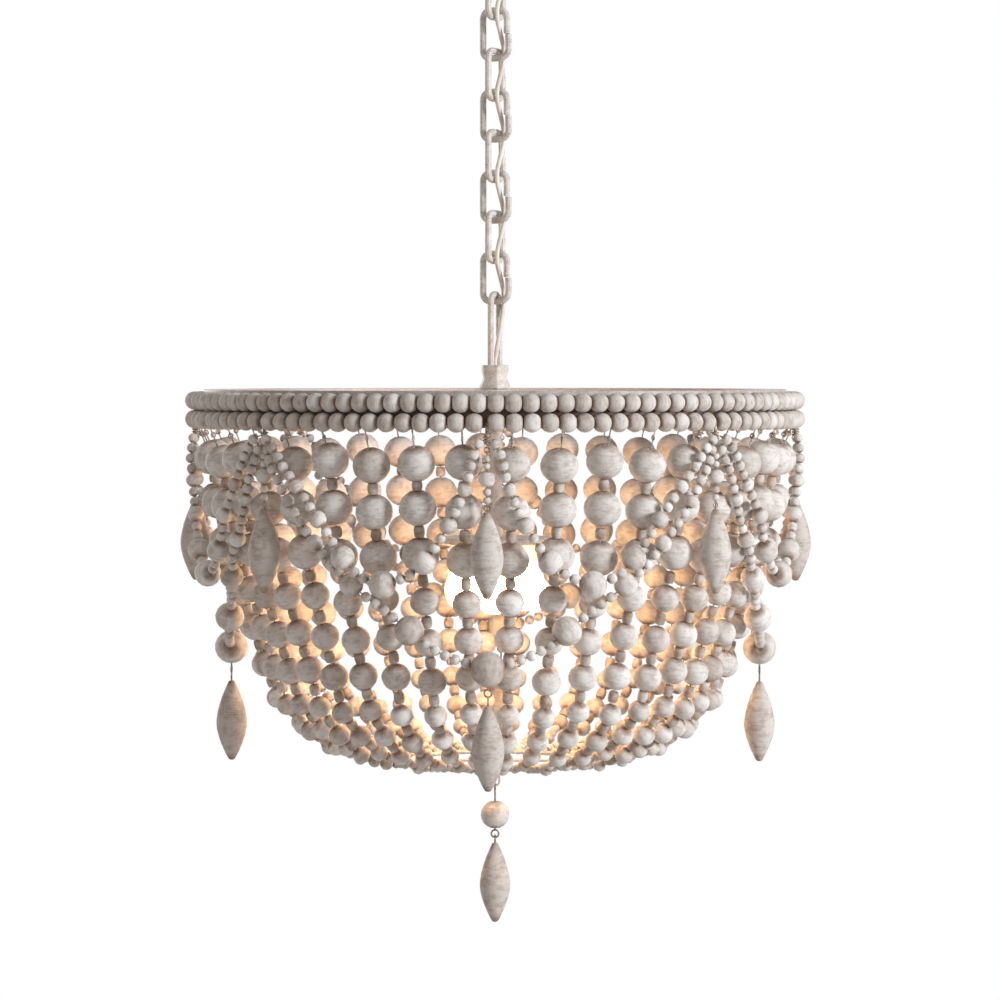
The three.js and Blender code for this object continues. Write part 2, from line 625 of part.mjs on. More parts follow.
// A route as closely spaced places, each with its azimuth from the anchor, its drop and its way so far
function routePlaces(shares, sag, floorStandOff) {
  const bends = shares.map(([turn, sink]) => new THREE.Vector3(turn * BAY_DEG, sink * sag, 0));
  const flat = new THREE.CatmullRomCurve3(bends).getPoints(ROUTE_STEPS);
  let way = 0;
  return flat.map((p, i) => {
    const last = flat[Math.max(0, i - 1)];
    const radius = RIM_STRING_RADIUS + (floorStandOff * p.y) / sag;
    way += Math.hypot(radians(p.x - last.x) * radius, p.y - last.y);
    return { turn: p.x, drop: p.y, way };
  });
}

// Half a garland: places for its beads, from the anchor towards the lowest bead
function halfGarland(anchor, hand, beads, lowest, places) {
  const total = beads.reduce((sum, d) => sum + d, lowest / 2);
  const full = places[places.length - 1];
  let reach = 0;
  return beads.map((diameter) => {
    reach += diameter;
    const wanted = ((reach - diameter / 2) / total) * full.way;
    const { turn, drop } = places.find((p) => p.way >= wanted);
    return { azimuth: anchor + hand * turn, drop, diameter, sink: drop / full.drop };
  });
}

// A string under its own weight bridges narrow hollows, so each bead comes out towards its neighbours' line
function tauten(spots, ends) {
  const radii = [ends, ...spots.map((spot) => spot.radius), ends];
  for (let pass = 0; pass < TAUT_PASSES; pass += 1) {
    for (let i = 1; i + 1 < radii.length; i += 1) {
      radii[i] = Math.max(radii[i], (radii[i - 1] + radii[i + 1]) / 2);
    }
  }
  return radii.slice(1, -1);
}

// A garland between two anchors; each of its halves is { anchor, beads, places }
function garland(halves, lowest, floorStandOff, obstacles) {
  const [left, right] = halves;
  const start = RIM_STRING_RADIUS + START_STAND_OFF;
  const floor = (sink) => start + (RIM_STRING_RADIUS + floorStandOff - start) * sink;
  const bottom = left.places[left.places.length - 1];
  const middle = { azimuth: left.anchor + bottom.turn, drop: bottom.drop, diameter: lowest, sink: 1 };
  const spots = [...halfGarland(left.anchor, 1, left.beads, lowest, left.places), middle,
    ...halfGarland(right.anchor, -1, right.beads, lowest, right.places).reverse()];
  const seat = (spot, from) => seated(spot.azimuth, spot.drop, spot.diameter, from, obstacles);
  const first = spots.map((spot) => seat(spot, floor(spot.sink)));
  const radii = tauten(first, start);
  const beads = spots.map((spot, i) => seat(spot, radii[i]));
  beads[left.beads.length].belt = LOWEST_BELT_SIDES;
  const ends = [[left, 1], [right, -1]].map(([half, hand]) =>
    around(half.anchor + hand * half.places[0].turn, start, below(half.places[0].drop)));
  return { beads, ends, lowest: beads[left.beads.length] };
}

function buildGarlands(strands) {
  const placed = [...strands];
  const lows = [];
  const longPlaces = routePlaces(LONG_SHARES, LONG_SAG, LONG_FLOOR_STAND_OFF);
  const barePlaces = routePlaces(SWAG_BARE_SHARES, SWAG_SAG, SWAG_FLOOR_STAND_OFF);
  const sharedPlaces = routePlaces(SWAG_SHARED_SHARES, SWAG_SAG, SWAG_FLOOR_STAND_OFF);
  for (let k = 0; k < BAY_COUNT / 2; k += 1) {
    const centre = k * BAY_DEG * 2;
    const half = (hand) => ({ anchor: centre + hand * BAY_DEG, beads: LONG_HALF, places: longPlaces });
    const halves = [half(-1), half(1)];
    const set = garland(halves, LONG_LOWEST, LONG_FLOOR_STAND_OFF, strands);
    placed.push(...set.beads);
    lows.push(set.lowest.centre);
    add(`long_garland_${k + 1}`, beadString(set.beads, GARLAND_NECK, azimuthSide, set.ends), LIMED_WOOD);
  }
  for (let k = 0; k < BAY_COUNT; k += 1) {
    const bare = { beads: SWAG_BARE_HALF, places: barePlaces };
    const shared = { beads: SWAG_SHARED_HALF, places: sharedPlaces };
    const [left, right] = k % 2 === 0 ? [bare, shared] : [shared, bare];
    const halves = [{ ...left, anchor: k * BAY_DEG }, { ...right, anchor: (k + 1) * BAY_DEG }];
    const set = garland(halves, SWAG_LOWEST, SWAG_FLOOR_STAND_OFF, placed);
    add(`swag_${k + 1}`, beadString(set.beads, GARLAND_NECK, azimuthSide, set.ends), LIMED_WOOD);
  }
  return lows;
}

// A drop: beads on a vertical wire, then a spindle; both are given by drops below the hoop's top
function dropBody(x, y, topDrop, beads, spindleTop) {
  const down = UP.clone().negate();
  const side = heading(0);
  const at = (drop) => new THREE.Vector3(x, y, below(drop));
  const rings = [ringAt(at(topDrop), down, side, EYE_WIRE / 2, NECK_SIDES)];
  for (const [diameter, drop] of beads) {
    rings.push(ringAt(at(drop - diameter / 2), down, side, EYE_WIRE / 2, NECK_SIDES));
    rings.push(ringAt(at(drop), down, side, diameter / 2, beltSides(diameter)));
  }
  const last = beads[beads.length - 1];
  if (last) rings.push(ringAt(at(last[1] + last[0] / 2), down, side, EYE_WIRE / 2, NECK_SIDES));
  if (spindleTop) {
    for (const [share, width] of SPINDLE_SHARES) {
      rings.push(ringAt(at(spindleTop + share * SPINDLE_LENGTH), down, side, (width * SPINDLE_DIAMETER) / 2,
        SPINDLE_SIDES));
    }
  } else {
    rings.push(ringAt(at(last[1] + last[0] / 2 + EYE_WIRE), down, side, EYE_WIRE / 2, NECK_SIDES));
  }
  return joined(rings, false);
}

function eyeAt(x, y, topDrop, turn) {
  const centre = new THREE.Vector3(x, y, below(topDrop + EYE_CENTRE_RADIUS));
  const points = Array.from({ length: EYE_POINTS }, (_, k) => {
    const a = (k / EYE_POINTS) * FULL_TURN;
    return centre.clone().addScaledVector(heading(turn), EYE_CENTRE_RADIUS * Math.sin(a))
      .addScaledVector(UP, EYE_CENTRE_RADIUS * Math.cos(a));
  });
  return wire(points, EYE_WIRE, FINE_WIRE_SIDES, true, () => heading(turn + 90));
}

function buildDrops(lows) {
  const beads = DROP_BEAD_SHARES.map(([size, way]) =>
    [size * DROP_BEAD, ANCHOR_DROP + way * (DROP_SPINDLE_TOP - ANCHOR_DROP)]);
  for (let k = 0; k < BAY_COUNT; k += 1) {
    const { x, y } = around(k * BAY_DEG, DROP_RADIUS, 0);
    add(`drop_${k + 1}`, dropBody(x, y, DROP_TOP, beads, DROP_SPINDLE_TOP), LIMED_WOOD);
  }
  const ringTop = LONG_SAG + LONG_LOWEST / 2 + SEAT_GAP + EYE_WIRE / 2;
  for (let k = 0; k < BAY_COUNT / 2; k += 1) {
    const azimuth = k * BAY_DEG * 2;
    const { x, y } = lows[k];
    const ringFoot = ringTop + EYE_CENTRE_RADIUS * 2;
    const body = dropBody(x, y, ringFoot, [], ringFoot + LOWER_DROP_NECK);
    add(`lower_drop_${k + 1}`, fuse([eyeAt(x, y, ringTop, azimuth), body]), LIMED_WOOD);
  }
  const hang = EYE_WIRE + GAP;
  const beadEyeTop = BOTTOM_RING_DROP + BOTTOM_EYE_LENGTH - hang;
  const beadEyeFoot = beadEyeTop + EYE_CENTRE_RADIUS * 2;
  const beadDrop = beadEyeFoot + BOTTOM_BEAD_NECK + BOTTOM_BEAD / 2;
  const beadBody = dropBody(0, 0, beadEyeFoot, [[BOTTOM_BEAD, beadDrop]], 0);
  const lowEyeTop = beadDrop + BOTTOM_BEAD / 2 + EYE_WIRE / 2;
  add('bottom_bead', fuse([eyeAt(0, 0, beadEyeTop, 90), beadBody, eyeAt(0, 0, lowEyeTop, 0)]), LIMED_WOOD);
  const spindleEyeTop = lowEyeTop + EYE_CENTRE_RADIUS * 2 - hang;
  const spindleEyeFoot = spindleEyeTop + EYE_CENTRE_RADIUS * 2;
  const spindle = dropBody(0, 0, spindleEyeFoot, [], spindleEyeFoot + BOTTOM_SPINDLE_NECK);
  add('bottom_spindle', fuse([eyeAt(0, 0, spindleEyeTop, 90), spindle]), LIMED_WOOD);
}

function buildLamps() {
  const z = below(LAMP_PLATE_DROP);
  const edge = LAMP_PLATE_EDGE;
  const plate = [[0, 0], [LAMP_PLATE_RADIUS - edge, 0], [LAMP_PLATE_RADIUS, -edge],
    [LAMP_PLATE_RADIUS, -LAMP_PLATE_THICKNESS], [0, -LAMP_PLATE_THICKNESS]];
  add('lamp_plate', turned(plate, PLATE_SIDES, 0, 0, z), LIMED_IRON);
  const holderTop = z - LAMP_PLATE_THICKNESS - GAP;
  const bulbTop = holderTop - HOLDER_HEIGHT - GAP;
  for (let k = 0; k < LAMP_COUNT; k += 1) {
    const { x, y } = around((k * 360) / LAMP_COUNT, LAMP_CIRCLE, 0);
    const holder = [[0, 0], [HOLDER_RADIUS, 0], [HOLDER_RADIUS, -HOLDER_HEIGHT], [0, -HOLDER_HEIGHT]];
    add(`lampholder_${k + 1}`, turned(holder, HUB_SIDES, x, y, holderTop), LIMED_IRON);
    const bulb = BULB_SHARES.map(([reach, sink]) => [reach * BULB_RADIUS, -sink * BULB_LENGTH]);
    add(`bulb_${k + 1}`, turned(bulb, BULB_SIDES, x, y, bulbTop), LAMP_GLASS);
  }
}

buildCanopy();
const feet = buildChain();
buildLead();
buildStem(feet);
buildHoop();
const strands = buildPanels();
buildBottomRing();
const lows = buildGarlands(strands);
buildDrops(lows);
buildLamps();

export default part;
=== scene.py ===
# %% [markdown]
# # A beaded chandelier
# The real lamp is an iron hoop hung by a chain, with forty strands of turned wooden beads that fall from
# the hoop and gather in a ring below. Garlands and pointed drops hang in front of the strands.
# The CAD model gives every place and every moving body. Here each piece gets its round form and finish.

# %% Load the frame
import math
import random

import bpy
import numpy as np
from mathutils import Matrix, Vector


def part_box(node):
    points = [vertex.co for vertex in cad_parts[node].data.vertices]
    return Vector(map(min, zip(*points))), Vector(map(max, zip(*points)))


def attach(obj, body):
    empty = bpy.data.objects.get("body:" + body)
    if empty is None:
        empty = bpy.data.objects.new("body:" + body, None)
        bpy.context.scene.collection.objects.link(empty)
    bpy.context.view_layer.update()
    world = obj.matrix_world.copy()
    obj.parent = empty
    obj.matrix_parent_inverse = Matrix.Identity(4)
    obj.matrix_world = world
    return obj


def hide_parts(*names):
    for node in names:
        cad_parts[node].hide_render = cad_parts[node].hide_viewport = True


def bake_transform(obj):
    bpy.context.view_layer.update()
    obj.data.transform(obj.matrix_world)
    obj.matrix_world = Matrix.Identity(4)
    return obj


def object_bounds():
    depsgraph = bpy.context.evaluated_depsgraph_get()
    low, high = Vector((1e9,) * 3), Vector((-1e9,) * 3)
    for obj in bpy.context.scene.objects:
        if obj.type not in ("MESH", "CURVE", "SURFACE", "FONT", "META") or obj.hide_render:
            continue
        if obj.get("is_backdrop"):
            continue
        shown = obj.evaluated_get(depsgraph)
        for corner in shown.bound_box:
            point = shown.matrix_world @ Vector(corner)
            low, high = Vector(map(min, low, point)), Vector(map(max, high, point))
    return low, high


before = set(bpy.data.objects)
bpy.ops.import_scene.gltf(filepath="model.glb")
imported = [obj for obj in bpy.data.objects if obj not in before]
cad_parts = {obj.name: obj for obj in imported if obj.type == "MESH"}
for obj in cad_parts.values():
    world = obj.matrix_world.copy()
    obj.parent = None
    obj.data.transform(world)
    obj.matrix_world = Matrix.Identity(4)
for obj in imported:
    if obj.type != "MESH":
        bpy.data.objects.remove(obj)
sizes = {"cad": [list(c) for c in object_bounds()]}
print("CAD box", sizes["cad"])

# %% [markdown]
# ## Sizes
# The heights are counted down from the top of the hoop, in millimetres, because that edge is easy to see.
# A place round the lamp is an azimuth in degrees, 0 at the front and growing towards +X.

# %% Sizes and places
MM = 0.001
UP, DOWN = Vector((0, 0, 1)), Vector((0, 0, -1))
ALONG_X, ALONG_Y = Vector((1, 0, 0)), Vector((0, 1, 0))
HOOP_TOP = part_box("hoop")[1][2]
BAYS, STRANDS_PER_BAY = 8, 5
BAY = 360 / BAYS
STRAND_PITCH = BAY / STRANDS_PER_BAY
rng = random.Random(7)


def around(azimuth, radius, drop):
    a = math.radians(azimuth)
    return Vector((radius * math.sin(a) * MM, -radius * math.cos(a) * MM, HOOP_TOP - drop * MM))


def on_axis(drop):
    return Vector((0, 0, HOOP_TOP - drop * MM))


def outward(azimuth):
    return (around(azimuth, 1, 0) - around(azimuth, 0, 0)).normalized()


def span(node):
    """The lowest and the highest z of a CAD node."""
    return [end[2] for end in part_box(node)]


print("hoop top at", round(HOOP_TOP / MM, 1), "mm, a strand every", STRAND_PITCH, "degrees")

# %% [markdown]
# ## Tools for modelling
# Most pieces here are turned on a lathe or bent from wire. A turned piece starts as a circle that is
# extruded upwards ring by ring and scaled to the profile, a list of radii and heights in millimetres,
# as a lathe would cut it.
# An operator acts on all that is selected, so every tool first selects its own piece and nothing else.

# %% A turned piece
def nothing_selected():
    if bpy.context.object and bpy.context.object.mode != "OBJECT":
        bpy.ops.object.mode_set(mode="OBJECT")
    bpy.ops.object.select_all(action="DESELECT")


def alone(piece):
    nothing_selected()
    piece.select_set(True)
    bpy.context.view_layer.objects.active = piece


def face_outwards():
    """Turns all faces of the piece in edit mode outwards, and leaves edit mode."""
    bpy.ops.mesh.select_all(action="SELECT")
    bpy.ops.mesh.normals_make_consistent(inside=False)
    bpy.ops.object.mode_set(mode="OBJECT")


def turned(name, profile, segments):
    nothing_selected()
    radius, height = profile[0]
    bpy.ops.mesh.primitive_circle_add(
        vertices=segments, radius=radius * MM, fill_type="NGON", location=(0, 0, height * MM))
    piece = bpy.context.object
    piece.name = name
    bpy.ops.object.mode_set(mode="EDIT")
    bpy.ops.mesh.select_all(action="SELECT")
    for next_radius, next_height in profile[1:]:
        rise = (next_height - height) * MM
        bpy.ops.mesh.extrude_region_move(TRANSFORM_OT_translate={"value": (0, 0, rise)})
        share = next_radius / radius
        bpy.ops.transform.resize(value=(share, share, 1), center_override=(0, 0, next_height * MM))
        radius, height = next_radius, next_height
    face_outwards()
    bpy.ops.object.transform_apply(location=True, rotation=True, scale=True)
    return piece


# %% [markdown]
# A wire is drawn as a line of points that gets a round section, and is then made a mesh. Thin wires take
# few sides, because there are more than a hundred of them and each is only a pixel or two wide.

# %% Bent wire
def put(name, data):
    piece = bpy.data.objects.new(name, data)
    bpy.context.scene.collection.objects.link(piece)
    return piece


def wire(name, points, thickness, fineness=0, closed=False):
    """A round wire of 4 sides, and two more for each step of fineness."""
    curve = bpy.data.curves.new(name, "CURVE")
    curve.dimensions = "3D"
    curve.bevel_depth = thickness * MM / 2
    curve.bevel_resolution = fineness
    curve.use_fill_caps = True
    line = curve.splines.new("POLY")
    line.points.add(len(points) - 1)
    for spot, point in zip(line.points, points):
        spot.co = (*point, 1)
    line.use_cyclic_u = closed
    alone(put(name, curve))
    bpy.ops.object.convert(target="MESH")
    bpy.ops.object.mode_set(mode="EDIT")
    face_outwards()
    return bpy.context.object


def joined(name, parts):
    alone(parts[0])
    for part in parts:
        part.select_set(True)
    if len(parts) > 1:
        bpy.ops.object.join()
    piece = bpy.context.object
    piece.name = name
    piece.data.name = name
    return piece


def smooth(piece, angle):
    alone(piece)
    bpy.ops.object.shade_smooth_by_angle(angle=math.radians(angle))


# %% [markdown]
# ## Marks for the finish
# Each bead is a piece of wood of its own, so its grain, tone and shade differ from its neighbour's.
# Three attributes carry that: the place inside the bead in millimetres, the bead's tone, and how near
# a point is to the drilled hole, where brown wood and dust show, together with painted shade of the crevice
# between beads.

# %% Attributes and bead copies
USUAL_TONE, TONE_SPREAD = 0.5, 0.22
GRAIN_REACH = 900
HOLE_FROM_SHARE = 0.72


def write(mesh, name, values):
    """Stores one number, or one vector, for each vertex."""
    kind, field = ("FLOAT_VECTOR", "vector") if values.ndim == 2 else ("FLOAT", "value")
    attribute = mesh.attributes.get(name) or mesh.attributes.new(name, kind, "POINT")
    attribute.data.foreach_set(field, values.astype(np.float32).ravel())


def mark(mesh):
    places = np.empty(len(mesh.vertices) * 3, np.float32)
    mesh.vertices.foreach_get("co", places)
    local = places.reshape(-1, 3) / MM
    heights = np.abs(local[:, 2]) / np.abs(local[:, 2]).max()
    write(mesh, "grain", local)
    write(mesh, "tone", np.full(len(local), USUAL_TONE))
    write(mesh, "hole", np.clip((heights - HOLE_FROM_SHARE) / (1 - HOLE_FROM_SHARE), 0, 1))


def placed_copy(form, centre, along, scale=1.0, length_scale=1.0, usual_tone=USUAL_TONE):
    """A copy of a form at its place on a wire, with a grain, tone and turn of its own."""
    mesh = form.data.copy()
    shift = np.array([rng.uniform(-GRAIN_REACH, GRAIN_REACH) for _ in range(3)])
    vectors = np.empty(len(mesh.vertices) * 3, np.float32)
    mesh.attributes["grain"].data.foreach_get("vector", vectors)
    stretch = np.array([scale, scale, length_scale])
    write(mesh, "grain", vectors.reshape(-1, 3) * stretch + shift)
    tone = min(1, max(0, rng.gauss(usual_tone, TONE_SPREAD)))
    write(mesh, "tone", np.full(len(mesh.vertices), tone))
    turn = Vector(along).to_track_quat("Z", "Y").to_matrix().to_4x4()
    roll = Matrix.Rotation(rng.uniform(0, math.tau), 4, "Z")
    mesh.transform(Matrix.Translation(centre) @ turn @ roll @ Matrix.Diagonal((*stretch, 1)))
    return put(form.name, mesh)


# %% [markdown]
# ## Bead forms
# A bead is turned as a ball, its two ends are faced flat, and a hole is drilled through. The flat land
# and the dark mouth of the hole are what tell a wooden bead from a plain ball. Each form is turned once,
# and every bead on the lamp is a scaled copy of one of them.

# %% Beads, spacers and spindles
TURNED_ANGLE = 50
BALL_SIZE, SMALL_SIZE, SMALL_BELOW = 30, 10, 14
RIM_LAND = 8.4
BARREL_SIZE, BARREL_LENGTH, BARREL_BROWN = 9.4, 8, 0.74
BARREL_PROFILE = [(1.2, -4), (3.9, -4), (4.6, -2), (4.7, 0), (4.6, 2), (3.9, 4), (1.2, 4)]
SPINDLE_PROFILE = [(1.2, -36), (2.4, -35.6), (3.9, -33.4), (6.6, -28), (9.6, -21), (12.0, -14), (13.4, -8),
                   (13.9, -3), (13.7, 1.5), (12.6, 8.5), (10.6, 16), (8.0, 23.5), (5.4, 29.5), (3.4, 34),
                   (2.3, 36), (1.0, 36), (1.0, 34.5)]


def bead_profile(diameter, land, hole, steps, depth_share=0.12):
    """Radii and heights of a ball with flat ends of radius land and a drilled mouth."""
    r = diameter / 2
    top = math.sqrt(r * r - land * land)
    start = math.acos(land / r)
    profile = [(hole, -top + diameter * depth_share), (hole, -top)]
    for k in range(steps + 1):
        a = -start + 2 * start * k / steps
        profile.append((r * math.cos(a), r * math.sin(a)))
    return profile + [(hole, top), (hole, top - diameter * depth_share)]


def template(name, profile, segments):
    piece = turned(name, profile, segments)
    smooth(piece, TURNED_ANGLE)
    mark(piece.data)
    return piece


BALL = template("ball_bead", bead_profile(BALL_SIZE, land=5.4, hole=2.2, steps=8), segments=16)
RIM_PROFILE = bead_profile(BALL_SIZE, RIM_LAND, hole=2.4, steps=8, depth_share=0.07)
RIM_BEAD = template("rim_bead", RIM_PROFILE, segments=16)
RIM_BEAD_LENGTH = 2 * math.sqrt((BALL_SIZE / 2)**2 - RIM_LAND**2)
SMALL_BALL = template("small_bead", bead_profile(SMALL_SIZE, land=2.0, hole=0.8, steps=5), segments=10)
BARREL = template("barrel", BARREL_PROFILE, segments=10)
SPINDLE = template("spindle", SPINDLE_PROFILE, segments=24)
# The barrels are brown all over: partly their own bare wood, partly painted shade of the recess between the
# large beads.
write(BARREL.data, "hole", np.full(len(BARREL.data.vertices), BARREL_BROWN))
print("bead faces", len(BALL.data.polygons), len(SMALL_BALL.data.polygons), len(SPINDLE.data.polygons))


def bead(centre, along, diameter, length):
    form, size = (SMALL_BALL, SMALL_SIZE) if diameter < SMALL_BELOW else (BALL, BALL_SIZE)
    return placed_copy(form, centre, along, diameter / size, length / size)


# %% [markdown]
# ## Strands, in the bays between the anchors
# On the real lamp each strand is threaded on one wire, from the hoop down to the ring that gathers them.
# The bead sizes and drops are the ones that the CAD source uses, and small barrels keep the large beads
# apart. Loose beads never sit at one height, so each is moved a little up or down by a sine.

# %% One strand
# Each bead of STRAND is its diameter, its distance from the axis and its drop.
RIM_RADIUS = 271.6
UPPER_ROW, LOWER_ROW = 10, 26.6
RING_RADIUS, RING_DROP = 76, 337
TOP_INSET, TOP_BELOW_ROW, FOOT_OUTSET = 2, 3, 2.6
THREAD = 1.4
STRAND = [(31.5, 256, 61), (31.5, 251, 100), (31.5, 243, 140), (24.5, 231, 178), (24.5, 219, 212),
          (24.5, 208, 245.7), (19.5, 197.3, 277.4), (19, 175.4, 301.3), (15.6, 152, 319), (12, 124, 330)]
SCATTER, SCATTER_PHASE = 2.2, 2.4
WIDTH_SHARE, LENGTH_SHARE, SEATED_SHARE = 1.024, 0.965, 0.95
PLAY_SHARE = 0.96
SHORT_FROM = 8
LONG_SPACER, SHORT_SPACER, LAST_SPACER = 9.4, 8.6, 8.4
BARREL_FROM, LONGEST_BARREL = 8.5, 9


def strand_beads(azimuth, number):
    return [(around(azimuth, radius, drop + SCATTER * math.sin(number * SCATTER_PHASE + row)), diameter)
            for row, (diameter, radius, drop) in enumerate(STRAND)]


def filled(a, size_a, b, size_b, small):
    """Barrels or small beads that fill the wire between two beads."""
    gap = (b - a).length / MM - (size_a + size_b) / 2
    along = (b - a).normalized()
    count = max(1, int(gap / small))
    start = a + along * size_a / 2 * MM
    step = gap / count
    for k in range(count):
        centre = start + along * (k + 0.5) * step * MM
        if count == 1 and small > BARREL_FROM:
            length = min(step * PLAY_SHARE, LONGEST_BARREL)
            yield placed_copy(BARREL, centre, along, small / BARREL_SIZE, length / BARREL_LENGTH)
        else:
            yield bead(centre, along, small * PLAY_SHARE, min(step, small))


def strand(azimuth, number):
    """The beads of one strand, and last its wire."""
    beads = strand_beads(azimuth, number)
    parts = []
    top = around(azimuth, RIM_RADIUS - TOP_INSET, LOWER_ROW + TOP_BELOW_ROW)
    foot = around(azimuth, RING_RADIUS + FOOT_OUTSET, RING_DROP)
    for k, (centre, diameter) in enumerate(beads):
        before = beads[k - 1][0] if k else top
        after = beads[k + 1][0] if k + 1 < len(beads) else foot
        along = (after - before).normalized()
        parts.append(bead(centre, along, diameter * WIDTH_SHARE, diameter * LENGTH_SHARE))
        if k + 1 < len(beads):
            small = LONG_SPACER if k < SHORT_FROM else SHORT_SPACER
            next_size = beads[k + 1][1]
            parts.extend(filled(centre, diameter * SEATED_SHARE, after, next_size * SEATED_SHARE, small))
    last, size = beads[-1]
    parts.extend(filled(last, size, foot, 0, LAST_SPACER))
    parts.append(wire("strand_wire", [top] + [c for c, _ in beads] + [foot], THREAD))
    return parts


print("beads in a strand, without the small ones:", len(STRAND))

# %% [markdown]
# ## Rim beads
# Two rows of beads hide the hoop. They are squarer than the others, because wide flat ends let them sit
# side by side like a band, so they have a form of their own. They are a shade darker too.

# %% Rim rows
# The lists gather the pieces of each finish, so that they can be dressed at the end.
RIM_WIDTH, RIM_LENGTH, RIM_TONE = 16.3, 13.9, 0.85
UPPER_COUNT, LOWER_COUNT = 117, 14
wooden, iron, washed, wiry = [], [], [], []


def register(piece, body, node=None):
    """Names the body that a piece rides, and the CAD node that it replaces."""
    if node:
        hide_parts(node)
    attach(piece, body)


def rim_row(start, end, drop, count):
    parts = []
    for k in range(count):
        azimuth = start + (k + 0.5) / count * (end - start)
        parts.append(placed_copy(RIM_BEAD, around(azimuth, RIM_RADIUS, drop), outward(azimuth + 90),
                                 RIM_WIDTH / BALL_SIZE, RIM_LENGTH / RIM_BEAD_LENGTH, RIM_TONE))
    return parts


upper_row = joined("upper_rim_beads", rim_row(0, BAY * BAYS, UPPER_ROW, UPPER_COUNT))
register(upper_row, "lamp_body", "rim_beads_upper")
wooden.append(upper_row)
print("upper row faces", len(upper_row.data.polygons))

# %% [markdown]
# ## Bays
# Each bay is one piece with its part of the lower rim row and its five strands, and a second piece has
# its wires. The lower row stops short of the next anchor, a post that carries the drops and garlands.
# The real post is wrapped with thin wire, and four rings one above the other give the same look.

# %% Bays with their anchors
ANCHOR_GAP = math.degrees(3.2 / RIM_RADIUS)
FINE_WIRE = 1.3
HOOK_RADIUS, HOOK_DROP = RIM_RADIUS - 6.5, LOWER_ROW + 13
HOOK_SIZE, HOOK_WIRE = 1.9, 1.5
WRAPS, WRAP_RADIUS, WRAP_PITCH, WRAP_SLANT = 4, 3.1, 2.4, 0.5
WRAP_DROP = LOWER_ROW + 9.5
POST_FOOT, POST_WIRE = 45.6, 3


def wire_eye(centre, across, radius, thickness):
    """A small ring of wire in the plane of UP and across."""
    points = [centre + (UP * math.cos(a) + across * math.sin(a)) * radius * MM
              for a in np.linspace(0, math.tau, 14, endpoint=False)]
    return wire("eye", points, thickness, closed=True)


def wrap(centre):
    points = [centre + Vector((math.cos(a), math.sin(a), 0)) * WRAP_RADIUS * MM
              + UP * WRAP_SLANT * math.sin(a) * MM
              for a in np.linspace(0, math.tau, 12, endpoint=False)]
    return wire("wrap", points, FINE_WIRE, closed=True)


for bay in range(BAYS):
    start = bay * BAY
    parts = rim_row(start, start + BAY - ANCHOR_GAP, LOWER_ROW, LOWER_COUNT)
    wires = []
    for k in range(STRANDS_PER_BAY):
        azimuth = start + (k + 0.5) * STRAND_PITCH
        *beads, thread = strand(azimuth, bay * STRANDS_PER_BAY + k)
        parts.extend(beads)
        hook_centre = around(azimuth, HOOK_RADIUS, HOOK_DROP)
        wires.append(thread)
        wires.append(wire_eye(hook_centre, outward(azimuth), HOOK_SIZE, HOOK_WIRE))
    for k in range(WRAPS):
        wires.append(wrap(around(start, RIM_RADIUS, WRAP_DROP + k * WRAP_PITCH)))
    post = [around(start, RIM_RADIUS, LOWER_ROW), around(start, RIM_RADIUS, POST_FOOT)]
    wires.append(wire("post", post, POST_WIRE, fineness=1))
    wood = joined(f"bay_{bay + 1}_beads", parts)
    threads = joined(f"bay_{bay + 1}_wires", wires)
    register(wood, "lamp_body", f"bead_panel_{bay + 1}")
    register(threads, "lamp_body")
    wooden.append(wood)
    washed.append(threads)
print("a bay has", len(wood.data.polygons), "faces of beads")

# %% [markdown]
# ## Garlands
# The garlands lie on the strands, so each of their beads is moved outwards until it clears the beads
# behind it. The same rule places them in the CAD source, and here it also keeps round beads apart.
# A route is a list of shares: of the way round to the next anchor, and of the garland's sag.

# %% Sizes and routes of the garlands
SMALL, FINE, MEDIUM, FULL, LARGE = 9.2, 12.4, 15, 21, 26
SWAG_TAIL = [FINE, SMALL, SMALL, MEDIUM, SMALL, SMALL, FULL, SMALL, SMALL]
SWAG_BARE = [SMALL] * 4 + SWAG_TAIL
SWAG_SHARED = [SMALL] * 5 + SWAG_TAIL
LONG_HALF = ([SMALL] * 5 + [FINE] + [SMALL] * 3 + [MEDIUM] + [SMALL] * 3 + [FULL] + [SMALL] * 4 + [LARGE]
             + [SMALL] * 5)
SWAG_LOWEST, LONG_LOWEST = 24, 30.4
SWAG_SAG, LONG_SAG = 162, 234
SWAG_STAND_OFF, LONG_STAND_OFF = -6.6, -33.6
BARE_SHARES = [(0.022, 0.247), (0.052, 0.325), (0.072, 0.444), (0.098, 0.543), (0.142, 0.667),
               (0.178, 0.747), (0.267, 0.901), (0.344, 0.966), (0.429, 1)]
SHARED_SHARES = [(0.022, 0.238), (0.08, 0.309), (0.142, 0.42), (0.204, 0.519), (0.3, 0.679),
                 (0.396, 0.864), (0.478, 0.963), (0.571, 1)]
LONG_SHARES = [(0.022, 0.197), (0.042, 0.248), (0.08, 0.308), (0.129, 0.393), (0.204, 0.5),
               (0.378, 0.679), (0.604, 0.833), (0.8, 0.949), (1, 1)]
print("beads in half a long garland:", len(LONG_HALF))

# %% [markdown]
# A route runs smoothly through its points, by a curve that keeps to them even where they lie unevenly.
# It is cut into short steps and measured, and the beads are then strung along it by their sizes.

# %% Routes
ROUTE_STEPS = 50


def between(p, q, low, high, x):
    return ((high - x) * p + (x - low) * q) / (high - low)


